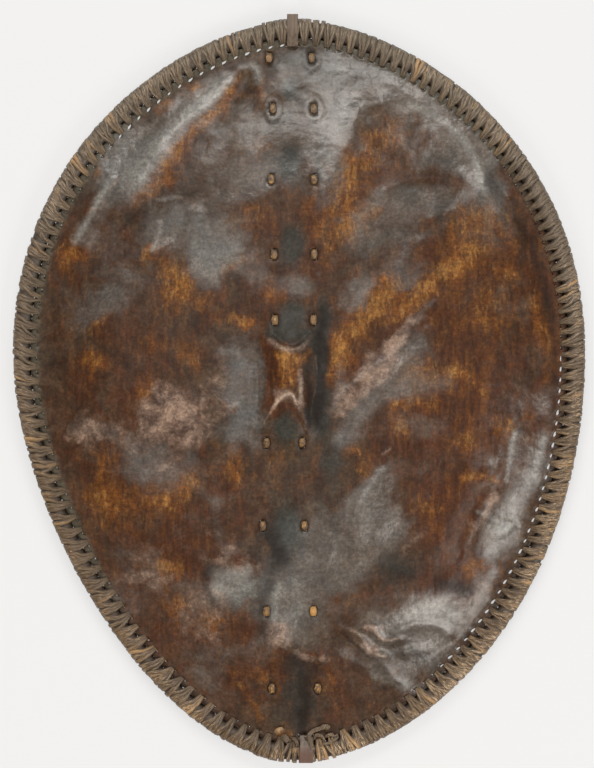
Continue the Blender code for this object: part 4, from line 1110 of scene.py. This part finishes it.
def makeStrandTree():
    # each stitch is a fan of flat strands: out of its hole, over the rod, under it and back into a hole
    runPoints = 11
    tree, given, result = newGroup("GeometryNodeTree", "wrappedThong", dict(rimSockets, **{
        "Strands": 6, "Width": 0.0042, "Thickness": 0.0012, "Rod Radius": 0.009, "Rod Height": 0.011,
        "Packing": 0.0016, "Doubled": 0.0022, "Hole Inset": 0.02, "Gather": 0.36, "Narrow": 0.6,
        "Hide Height": 0.014, "Hide Thickness": 0.005, "Lean": 0.4, "Looseness": 0.0007, "Crossed": 0.2,
        "Seed": 5, "Material": "Material"}), meshOut)

    def calc(operation, *values):
        return sums(tree, operation, *values)

    def times(*values):
        return calc("MULTIPLY", *values)

    def plus(*values):
        return calc("ADD", *values)

    def whole(operation, *values):
        return put(tree, "FunctionNodeIntegerMath", dict(enumerate(values)), operation=operation).outputs[0]

    def chance(low, high, extra):
        # a value of each strand's own
        inputs = {2: low, 3: high, "ID": strand, "Seed": whole("ADD", given["Seed"], extra)}
        return put(tree, "FunctionNodeRandomValue", inputs).outputs[1]

    def choose(mask, first, second):
        # second where the mask is 1, first where it is 0
        return calc("MULTIPLY_ADD", mask, calc("SUBTRACT", second, first), first)

    index = put(tree, "GeometryNodeInputIndex").outputs[0]
    step, strand = whole("MODULO", index, runPoints), whole("DIVIDE", index, runPoints)
    lane, stitch = whole("MODULO", strand, given["Strands"]), whole("DIVIDE", strand, given["Strands"])
    atFront, atBack = calc("LESS_THAN", step, 1.5), calc("GREATER_THAN", step, runPoints - 2.5)
    inHide = calc("MAXIMUM", atFront, atBack)
    deep = calc("MAXIMUM", calc("LESS_THAN", step, 0.5), calc("GREATER_THAN", step, runPoints - 1.5))

    # turn round the rod: 0 points in at the hide, 90 is the crown, 180 the outside, 270 underneath
    turn = ramp(tree, step, 2.0, runPoints - 3.0, 62.0, 298.0)
    turn = choose(atFront, turn, choose(deep, 48.0, 4.0))
    turn = calc("RADIANS", choose(atBack, turn, choose(deep, 312.0, 356.0)))
    sine, cosine = calc("SINE", turn), calc("COSINE", turn)

    # where the stitch stands, and whether its hole gapes
    middle = plus(stitch, 0.5)
    home = placeOf(tree, given, middle)
    gape = useGroup(tree, gaping, {"Inward": home["Inward"]})["Open"]
    fromMiddle = calc("ABSOLUTE", plus(axisOf(tree, home["Position"], "X"), 0.006))
    besideEnd = ramp(tree, fromMiddle, 0.050, 0.030, smooth=True)

    # a few strands cross their neighbours on top of them
    crossed = calc("LESS_THAN", chance(0.0, 1.0, 11), given["Crossed"])
    crossBy = times(crossed, chance(-0.36, 0.36, 12))
    lift = times(chance(0.0, 1.0, 13), given["Looseness"])
    lift = calc("MULTIPLY_ADD", crossed, times(given["Thickness"], 0.5), lift)
    lift = calc("MULTIPLY_ADD", besideEnd, given["Doubled"], lift)
    radius = plus(plus(given["Rod Radius"], given["Packing"]), lift)
    radius = calc("MULTIPLY_ADD", given["Thickness"], 0.5, radius)

    laneShare = calc("SUBTRACT", calc("DIVIDE", plus(lane, 0.5), given["Strands"]), 0.5)
    onRod = times(plus(plus(laneShare, chance(-0.05, 0.05, 14)), crossBy), 1.04)
    inHole = times(plus(laneShare, chance(-0.14, 0.14, 18)), given["Gather"])
    # behind the hide the strands stay spread, and the outermost reach for the next holes
    outermost = calc("SUBTRACT", calc("GREATER_THAN", lane, calc("SUBTRACT", given["Strands"], 1.5)),
                     calc("LESS_THAN", lane, 0.5))
    behind = calc("MULTIPLY_ADD", outermost, 0.2, times(laneShare, 0.8))
    spread = choose(atBack, choose(atFront, onRod, inHole), behind)
    # a fan is narrow towards its hole and full over the outer half of the rod
    fullness = ramp(tree, turn, 1.0, 2.2, given["Narrow"], 1.0, smooth=True)
    spread = times(spread, choose(inHide, fullness, 1.0))
    leanBy = times(times(axisOf(tree, home["Along"], "Y"), given["Lean"]), calc("SINE", times(turn, 0.5)))
    place = placeOf(tree, given, plus(middle, plus(spread, leanBy)))

    frontInset = calc("MULTIPLY_ADD", chance(-1.0, 1.0, 15), 0.0004, given["Hole Inset"])
    frontInset = plus(frontInset, choose(gape, 0.0011, 0.0))
    backInset = plus(frontInset, choose(gape, 0.0026, -0.0006))
    inset = choose(inHide, times(cosine, radius), choose(atBack, frontInset, backInset))
    proud = calc("MULTIPLY_ADD", given["Hide Thickness"], 0.5, times(given["Thickness"], 0.7))
    proud = times(proud, times(calc("SUBTRACT", atFront, atBack), calc("SUBTRACT", 1.0, deep)))
    height = calc("MULTIPLY_ADD", sine, radius, given["Rod Height"])
    height = choose(inHide, height, plus(given["Hide Height"], proud))
    height = calc("MAXIMUM", height, calc("MULTIPLY_ADD", given["Thickness"], 0.5, 0.0002))

    ground = vectorSums(tree, "MULTIPLY", place["Position"], (1.0, 1.0, 0.0))
    centre = vectorSums(tree, "ADD", ground, stretch(tree, place["Inward"], inset))
    centre = vectorSums(tree, "ADD", centre, vectorOf(tree, Z=height))
    outward = vectorSums(tree, "ADD", stretch(tree, place["Inward"], cosine), vectorOf(tree, Z=sine))
    breadth = times(calc("MULTIPLY_ADD", inHide, -0.42, 1.0), chance(0.85, 1.1, 16))
    # painted shade where the strands run under the rod and behind the hide
    tuckedShade = calc("MAXIMUM", calc("MAXIMUM", atBack, ramp(tree, sine, 0.1, -0.5)), deep)

    count = whole("MULTIPLY", whole("MULTIPLY", given["Stitches"], given["Strands"]), runPoints)
    geometry = put(tree, "GeometryNodePoints", {"Count": count, "Position": centre}).outputs[0]
    # innerShade is painted shade on the rod's inner side, towards the hide
    for name, field in (("along", times(step, 0.6)), ("strand", chance(0.0, 1.0, 17)), ("tuckedShade", tuckedShade),
                        ("innerShade", ramp(tree, cosine, -0.75, 0.80)), ("breadth", breadth)):
        geometry = stored(tree, geometry, name, field)
    geometry = stored(tree, geometry, "outward", outward, "FLOAT_VECTOR")
    curves = put(tree, "GeometryNodePointsToCurves", {
        "Points": geometry, "Curve Group ID": strand, "Weight": step})
    skin = ribbon(tree, curves.outputs[0], given["Width"], given["Thickness"], 5, True)

    # the turns under the outer ones
    sleeve = put(tree, "GeometryNodeCurvePrimitiveCircle", {
        "Resolution": 14, "Radius": plus(given["Rod Radius"], given["Packing"])}).outputs[0]
    under = put(tree, "GeometryNodeCurveToMesh", {"Curve": given["Rim"], "Profile Curve": sleeve}).outputs[0]
    # the hidden turns under the outer ones get full painted shade
    plainStrand = {"tuckedShade": 1.0, "innerShade": 0.0, "strand": 0.2, "along": 0.0, "across": 0.0}
    for name, amount in plainStrand.items():
        under = stored(tree, under, name, amount)
    joined = put(tree, "GeometryNodeJoinGeometry")
    tree.links.new(skin, joined.inputs[0])
    tree.links.new(under, joined.inputs[0])
    return endTree(tree, joined.outputs[0], given["Material"], result)


def makeRim(rodMaterial, thongMaterial):
    rod = grow("rim_rod_wood", rimPath, makeRodTree(), {"Radius": rim["rodRadius"], "Material": rodMaterial})
    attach(rod, body)
    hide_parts("rim_rod")
    lacing = grow("rim_thong", rimPath, makeStrandTree(), dict(rimValues, **{
        "Strands": rim["strands"], "Width": rim["strandWidth"], "Thickness": rim["strandThickness"],
        "Rod Radius": rim["rodRadius"], "Rod Height": rodHeight, "Packing": rim["packing"],
        "Doubled": rim["doubled"], "Hole Inset": rim["holeInset"] - rim["rodInset"] - rim["strandInset"],
        "Gather": rim["gather"], "Narrow": rim["narrow"], "Hide Height": hide["edgeZ"],
        "Hide Thickness": hide["thickness"], "Crossed": rim["crossed"],
        "Lean": rim["strandLean"] / rim["stitchSpacing"], "Material": thongMaterial}))
    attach(lacing, body)
    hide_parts("rim_lacing")
    print("rim:", len(lacing.data.polygons), "faces of thong")


def thongFinish(name, dark, plain, light, gold, crown=0.0, topGreying=1.0):
    # crown is how much light is painted on the strands' middles as a highlight, topGreying how much greyer
    # the strands turn towards the shield's upper end
    material, tree, shader = newMaterial(name, Specular_IOR_Level=0.4)
    place = objectPlace(tree)
    along, across, strand, innerShade, tuckedShade = (
        attributeValue(tree, kept) for kept in ("along", "across", "strand", "innerShade", "tuckedShade"))
    grain = useGroup(tree, fibres, {"Along": along, "Across": across, "Strand": strand, "Fineness": 5.6})
    streak, height = grain["Streak"], grain["Height"]
    clouds, speck = noise(tree, place, 16.0, 5.0), noise(tree, place, 210.0, 3.0)
    up = axisOf(tree, place, "Y")
    # greyer towards the shield's upper end
    greyerUp = product(tree, ramp(tree, up, -0.10, 0.42, 0.0, 0.75), topGreying)
    colour = mixed(tree, streak, dark, mixed(tree, greyerUp, plain, (0.165, 0.138, 0.102)))
    # lighter fibres: partly wear, partly painted highlight, stronger towards the lower right where the side
    # light falls
    wearAndHighlight = product(tree, streak, ramp(tree, clouds, 0.3, 0.7, 0.70, 1.15))
    wearAndHighlight = ramp(tree, wearAndHighlight, 0.56, 0.90, smooth=True)
    east = sums(tree, "SUBTRACT", axisOf(tree, place, "X"), up)
    wearAndHighlight = product(tree, wearAndHighlight, ramp(tree, east, 0.15, 0.40, 0.50, 1.50), clamp=True)
    colour = mixed(tree, wearAndHighlight, colour, light)
    shine = product(tree, ramp(tree, strand, 0.82, 0.96), ramp(tree, clouds, 0.4, 0.6))
    colour = mixed(tree, product(tree, shine, 0.7), colour, gold)
    lit = ramp(tree, sums(tree, "ABSOLUTE", across), 0.85, 0.15, 0.0, crown)
    lit = product(tree, lit, ramp(tree, speck, 0.40, 0.58, 0.0, 2.0))
    lit = product(tree, lit, ramp(tree, clouds, 0.35, 0.55, 0.5, 1.0), clamp=True)
    colour = mixed(tree, lit, colour, light)
    # painted shade on the strands' inner side, towards the hide
    shaded = mixed(tree, streak, (0.012, 0.0075, 0.0040), (0.062, 0.040, 0.021))
    colour = mixed(tree, product(tree, innerShade, 0.62), colour, shaded)
    # painted shade on strands under the rod and behind the hide
    colour = mixed(tree, product(tree, tuckedShade, 0.78), colour, (0.012, 0.0075, 0.005))
    setLook(tree, shader, colour, ramp(tree, height, 0.4, 1.1, 0.62, 0.42), bumped(tree, height, 0.0008, 0.8))
    return material


def rodFinish():
    material, tree, shader = newMaterial("rodWood", Specular_IOR_Level=0.3)
    clouds = noise(tree, objectPlace(tree), 60.0, 6.0)
    # near-black: partly the wood's own colour, partly painted shade, so the gaps between the fans read dark
    colour = mixed(tree, clouds, (0.009, 0.006, 0.004), (0.030, 0.020, 0.012))
    setLook(tree, shader, colour, ramp(tree, clouds, 0.3, 0.7, 0.6, 0.8), bumped(tree, clouds, 0.001, 0.5))
    return material


# the stave

stave = {
    "steps": 300,
    "bendY": 0.465,             # where the ends bend, and how far round that the steps are finer
    "bendReach": 0.04,
    "cornerPoints": 4,          # points round each corner of a section
    "corner": 0.30,             # corner's radius as a share of the thickness
    "adzeDepth": 0.0004,
    "grainDepth": 0.00012,
}


def staveSections():
    # middle, half width, underside and top of the bar against its height up the shield
    rows = {}
    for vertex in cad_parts["stave"].data.vertices:
        x, y, z = vertex.co
        rows.setdefault(round(float(y), 4), []).append((x, z))
    sections = []
    for y in sorted(rows):
        low, high = np.min(rows[y], axis=0), np.max(rows[y], axis=0)
        sections.append((y, (low[0] + high[0]) / 2, (high[0] - low[0]) / 2, low[1], high[1]))
    return np.array(sections)


def staveRing(y, x, halfWidth, low, high):
    # a section's points: four round corners, with points between them along the top and the underside
    count, radius = stave["cornerPoints"], stave["corner"] * (high - low)
    right, left = x + halfWidth - radius, x - halfWidth + radius
    corners = ((right, high - radius), (left, high - radius), (left, low + radius), (right, low + radius))
    ring = []
    for corner, (middleX, middleZ) in enumerate(corners):
        for k in range(count):
            angle = math.radians(90 * corner + 90 * k / (count - 1))
            ring.append((middleX + radius * math.cos(angle), y, middleZ + radius * math.sin(angle)))
        if corner in (0, 2):
            way, z = (-1, high) if corner == 0 else (1, low)
            ring += [(middleX + way * (2 * halfWidth - 2 * radius) * k / 6, y, z) for k in range(1, 6)]
    return ring


def makeStave(material):
    sections = staveSections()
    heights = np.linspace(sections[0, 0], sections[-1, 0], stave["steps"])
    bends = heights[np.abs(np.abs(heights) - stave["bendY"]) < stave["bendReach"]]
    heights = np.unique(np.concatenate((heights, bends[:-1] + np.diff(bends).clip(0, 0.004) / 2)))
    sides = [np.interp(heights, sections[:, 0], sections[:, k]) for k in range(1, 5)]
    points = np.array([staveRing(*section) for section in zip(heights, *sides)])
    count, size, _ = points.shape
    away = (points - points.mean(axis=1, keepdims=True)).reshape(-1, 3)
    away[:, 1] = 0.0
    away /= np.linalg.norm(away, axis=1)[:, None]
    points = points.reshape(-1, 3)
    adze = cloud(points[:, 0], points[:, 1] * 0.35, 0.010, 81) * stave["adzeDepth"]
    grain = cloud(points[:, 0], points[:, 1] * 0.06, 0.0022, 83) * stave["grainDepth"]
    points = points - away * (np.abs(adze) + np.abs(grain))[:, None]
    faces = []
    for i in range(0, (count - 1) * size, size):
        for j in range(size):
            k = (j + 1) % size
            faces.append((i + j, i + k, i + size + k, i + size + j))
    faces += [range(size), range(count * size - 1, (count - 1) * size - 1, -1)]
    piece = plainObject("stave_wood", points, faces)
    piece.data.materials.append(material)
    faceOutwards(piece)
    piece.data.set_sharp_from_angle(angle=math.radians(50))
    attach(piece, body)
    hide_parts("stave")
    print("stave:", len(faces), "faces")


def staveFinish():
    material, tree, shader = newMaterial("staveWood", Specular_IOR_Level=0.4)
    place = objectPlace(tree)
    drawn = put(tree, "ShaderNodeMapping", {"Vector": place, "Scale": (420.0, 16.0, 420.0)}).outputs[0]
    grain, clouds = noise(tree, drawn, 1.0, 5.0, 0.6), noise(tree, place, 18.0, 5.0)
    colour = mixed(tree, ramp(tree, grain, 0.3, 0.7), (0.033, 0.021, 0.014), (0.092, 0.068, 0.048))
    grime = product(tree, ragged(tree, clouds, place, 50.0, 0.8, 0.3), 0.4)
    colour = mixed(tree, grime, colour, (0.026, 0.015, 0.010))
    lowEnd = ramp(tree, axisOf(tree, place, "Y"), -0.470, -0.488, 0.0, 0.75)
    colour = mixed(tree, lowEnd, colour, (0.046, 0.019, 0.012))
    setLook(tree, shader, colour, ramp(tree, grain, 0.3, 0.7, 0.62, 0.48), bumped(tree, grain, 0.0008, 0.7))
    return material


# the lashings that tie the stave to the hide

lashing = {
    "stitchLength": 0.0115,     # between the middles of a stitch's two slits
    "width": 0.0092,
    "thickness": 0.0032,
    "arch": 0.0019,             # how far a stitch's middle rises
    "sunk": 0.0004,             # how deep the thong presses into the skin
    "bandDrop": 0.0013,         # how far a band's middle stands off the stave's back
}


def makeLashingTree():
    tree, given, result = newGroup("GeometryNodeTree", "tiedThong", {
        "Path": "Geometry", "Width": 0.0082, "Thickness": 0.0030, "Unevenness": 0.12, "Capped": False,
        "Seed": 1, "Material": "Material"}, meshOut)
    line = put(tree, "GeometryNodeMeshToCurve", {"Mesh": given["Path"]}).outputs[0]
    index = put(tree, "GeometryNodeInputIndex").outputs[0]
    line = stored(tree, line, "along", product(tree, index, 0.5))
    narrowest = sums(tree, "SUBTRACT", 1.0, given["Unevenness"])
    uneven = put(tree, "FunctionNodeRandomValue", {2: narrowest, 3: 1.0, "Seed": given["Seed"]}).outputs[1]
    line = stored(tree, line, "breadth", product(tree, named(tree, "breadth"), uneven))
    skin = ribbon(tree, line, given["Width"], given["Thickness"], 12, given["Capped"])
    skin = stored(tree, skin, "strand", sums(tree, "FRACT", product(tree, given["Seed"], 0.37)))
    return endTree(tree, skin, given["Material"], result)


def tie(name, tree, places, outward, breadth, closed, values):
    # a thong grown along a path, with its outward direction and its breadth at each point
    count = len(places)
    edges = [(i, (i + 1) % count) for i in range(count if closed else count - 1)]
    path = plainObject("tiePath", places, [], edges)
    path.data.attributes.new("outward", "FLOAT_VECTOR", "POINT").data.foreach_set("vector", np.ravel(outward))
    keepValues(path, "breadth", breadth)
    piece = grow(name, path, tree, values)
    bpy.data.objects.remove(path)
    return piece


def heightAt(surface, x, y):
    return float(surface(np.array([x]), np.array([y]))[0])


def thongLeg(x, row, level, side, backZ):
    # from under the hide down to the band: point, outward direction, breadth
    under = heightAt(skinBack, x, row) - 0.0010
    low = backZ - lashing["bandDrop"]
    return [((x, row, under), (0, level, 0), 0.92),
            ((x, row, (under + low) / 2 + 0.001), (-0.7 * side, 0.7 * level, 0), 0.78),
            ((x, row, low + 0.0030), (-side, 0, -0.2), 0.66),
            ((x + side * 0.0030, row, low), (-0.1 * side, 0, -1), 0.66)]


def thongStitch(x, y, start):
    # over the front from one slit to the other: share of the half length, rise, lean and breadth
    arch = lashing["arch"]
    run = [(1.0, -0.0034, 3.0, 0.74), (0.97, -0.0004, 1.2, 0.80), (0.62, 0.66 * arch, 0.45, 0.98),
           (0.0, arch, 0.0, 1.08)]
    run += [(-share, rise, -lean, size) for share, rise, lean, size in run[-2::-1]]
    points = []
    for share, rise, lean, size in run:
        row = y + start * share * lashing["stitchLength"] / 2
        level = heightAt(skinFront, x, row) + lashing["thickness"] / 2 - lashing["sunk"]
        points.append(((x, row, level + rise), (0, start * lean, 1), size))
    return points


def lashingPath(y, left, right, backZ):
    run = []
    for x, side in ((left, 1), (right, -1)):
        rows = [y + level * lashing["stitchLength"] / 2 for level in (side, -side)]
        run += thongLeg(x, rows[0], side, side, backZ)[::-1] + thongStitch(x, y, side)
        run += thongLeg(x, rows[1], -side, side, backZ)
        run.append((((left + right) / 2, rows[1], backZ - lashing["bandDrop"] - 0.0002), (0, 0, -1), 0.68))
    return run


def makeLashings(material):
    tree = makeLashingTree()
    sections = staveSections()
    half = lashing["stitchLength"] / 2 + 0.0026
    for number, (y, left, right) in enumerate(lashingPlaces, start=1):
        backZ = float(np.interp((y - half, y + half), sections[:, 0], sections[:, 3]).min())
        places, outward, breadth = zip(*lashingPath(y, left, right, backZ))
        outward = [Vector(direction).normalized() for direction in outward]
        piece = tie(f"lashing_thong_{number}", tree, places, outward, breadth, True, {
            "Width": lashing["width"], "Thickness": lashing["thickness"], "Seed": number,
            "Material": material})
        piece.data.shade_smooth()
        keepValues(piece, "tuckedShade", np.zeros(len(piece.data.vertices)))
        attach(piece, body)
        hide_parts(f"stave_lashing_{number}")
    print("lashings:", len(lashingPlaces))


# the loose ends tied in beside the stave's lower end

# in millimetres: width, thickness, strand, then the path's points
looseEnds = (
    (6.6, 1.6, 0.35, 20, -489, 20, 18, -480, 25.8, 15, -470, 24.8, 14, -463, 20.5, 18.5, -458, 19.2, 26,
     -455, 19.6, 33, -453, 19, 38, -455, 16.5),
    (7.8, 2, 0.55, 28, -456, 18, 32.5, -452.5, 20.6, 37.5, -452, 19, 40, -455, 16),
    (3.6, 1.8, 0.6, 27, -477, 24, 38, -473.5, 26.2, 48, -469, 23.5, 53, -465, 18.5),
    (4.6, 1.8, 0.15, 19.5, -469, 20, 23.5, -463, 22.2, 30, -464, 22.5, 34.5, -470.5, 22),
    (5, 2, 0.75, 35, -466, 19, 41, -462.5, 20.5, 48, -465, 19, 52, -462.5, 16.5),
    (8.5, 3.6, 1, -31.5, -461, 16, -28.5, -458, 21.2, -24.5, -456, 21.2, -21, -458.5, 16),
    (9.5, 2.2, 0.3, -23, -463.5, 17, -18.5, -467, 21.5, -15, -472, 23.5),
    (8.5, 3.2, 1, -10, -485, 23.5, -7, -483.5, 27.5, -3.5, -483, 27.5, -0.8, -484, 23.5),
    (5, 2, 0.45, -2, -478, 24, -3, -472, 26.2, -7.5, -468, 22, -12, -466, 16.5),
)


def makeLooseEnds(material):
    tree = makeLashingTree()
    pieces = []
    for number, (width, thickness, strand, *path) in enumerate(looseEnds):
        run = smoothRun(np.reshape(path, (-1, 3)) / 1000, 5)
        breadth = np.sin(np.linspace(0.25, math.pi - 0.25, len(run))) ** 0.35
        piece = tie("loose", tree, run, [(0.0, 0.0, 1.0)] * len(run), breadth, False, {
            "Width": width / 1000, "Thickness": thickness / 1000, "Capped": True, "Seed": 20 + number,
            "Material": material})
        count = len(piece.data.vertices)
        # painted shade on the loose ends, strong on all but the lightest one
        keepValues(piece, "tuckedShade", np.full(count, 0.15))
        keepValues(piece, "innerShade", np.full(count, 0.2 if strand == 1 else 0.95))
        piece.data.attributes["strand"].data.foreach_set("value", np.full(count, strand, float))
        pieces.append(piece)
    with bpy.context.temp_override(active_object=pieces[0], selected_editable_objects=pieces):
        bpy.ops.object.join()
    pieces[0].name = pieces[0].data.name = "loose_ends"
    pieces[0].data.shade_smooth()
    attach(pieces[0], body)
    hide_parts("rim_lacing")
    print("loose ends", len(pieces[0].data.polygons))


# floor, light and camera

studio = {
    "floorReach": 9,
    "viewHeight": 8.0,
    "viewMiddle": (-0.0027, 0.006),
    "viewSpan": 1.0268,         # metres seen down the frame at the rim
    "worldColour": (0.97, 0.98, 1.0, 1.0),
    "worldStrength": 0.30,
    # name: place, target, size across and down, power, colour
    "lights": {
        "topSoftbox": ((-0.1, 2.3, 2.3), (0.0, 0.1, 0.0), 3.0, 1.1, 165.0, (1.0, 0.96, 0.91)),
        "sideSoftbox": ((1.9, -1.25, 1.7), (0.05, -0.1, 0.0), 1.7, 1.0, 86.0, (1.0, 0.95, 0.89)),
        "overhead": ((-0.5, 0.2, 3.2), (0.0, 0.0, 0.0), 1.6, 1.6, 24.0, (1.0, 1.0, 1.0)),
        "leftFill": ((-1.6, -1.9, 2.0), (-0.1, -0.1, 0.0), 2.0, 1.4, 112.0, (1.0, 0.92, 0.82)),
    },
}


def makeStudio():
    scene = bpy.context.scene
    material, _, _ = newMaterial("paleFloor", Roughness=0.9, Specular_IOR_Level=0.1, Emission_Strength=0.62,
                                 Base_Color=(0.10, 0.10, 0.10, 1.0), Emission_Color=(1.0, 1.0, 1.0, 1.0))
    far = studio["floorReach"]
    corners = [(-far, -far, 0), (far, -far, 0), (far, far, 0), (-far, far, 0)]
    floor = plainObject("floor", corners, [(0, 1, 2, 3)])
    floor.data.materials.append(material)
    world = bpy.data.worlds.new("studio")
    world.use_nodes = True
    background = world.node_tree.nodes["Background"].inputs
    background["Color"].default_value = studio["worldColour"]
    background["Strength"].default_value = studio["worldStrength"]
    scene.world = world
    for name, (location, target, across, down, power, colour) in studio["lights"].items():
        data = bpy.data.lights.new(name, "AREA")
        data.shape = "RECTANGLE"
        data.size, data.size_y, data.energy, data.color = across, down, power, colour
        lamp = placed(name, data)
        lamp.location = location
        lamp.rotation_euler = (Vector(target) - Vector(location)).to_track_quat("-Z", "Y").to_euler()
        lamp.visible_glossy = name != "leftFill"
    data = bpy.data.cameras.new("camera")
    data.lens = data.sensor_width * (studio["viewHeight"] - hide["edgeZ"]) / studio["viewSpan"]
    data.clip_end = 100.0
    camera = placed("camera", data)
    camera.location = (*studio["viewMiddle"], studio["viewHeight"])
    scene.camera = camera
    scene.view_settings.view_transform = "Standard"
    print("studio ready")


makeStudio()
lacingFinish = thongFinish("lacingThong", (0.020, 0.0118, 0.0062), (0.118, 0.076, 0.041),
                           (0.410, 0.300, 0.195), (0.330, 0.195, 0.082))
tieFinish = thongFinish("tieThong", (0.014, 0.0065, 0.0028), (0.052, 0.027, 0.0100),
                        (0.300, 0.165, 0.050), (0.250, 0.130, 0.034), 0.15, 0.3)
makeRim(rodFinish(), lacingFinish)
makeHide(hideFrontFinish(), hideBackFinish())
makeStave(staveFinish())
makeLashings(tieFinish)
makeLooseEnds(lacingFinish)
bpy.data.objects.remove(rimPath)
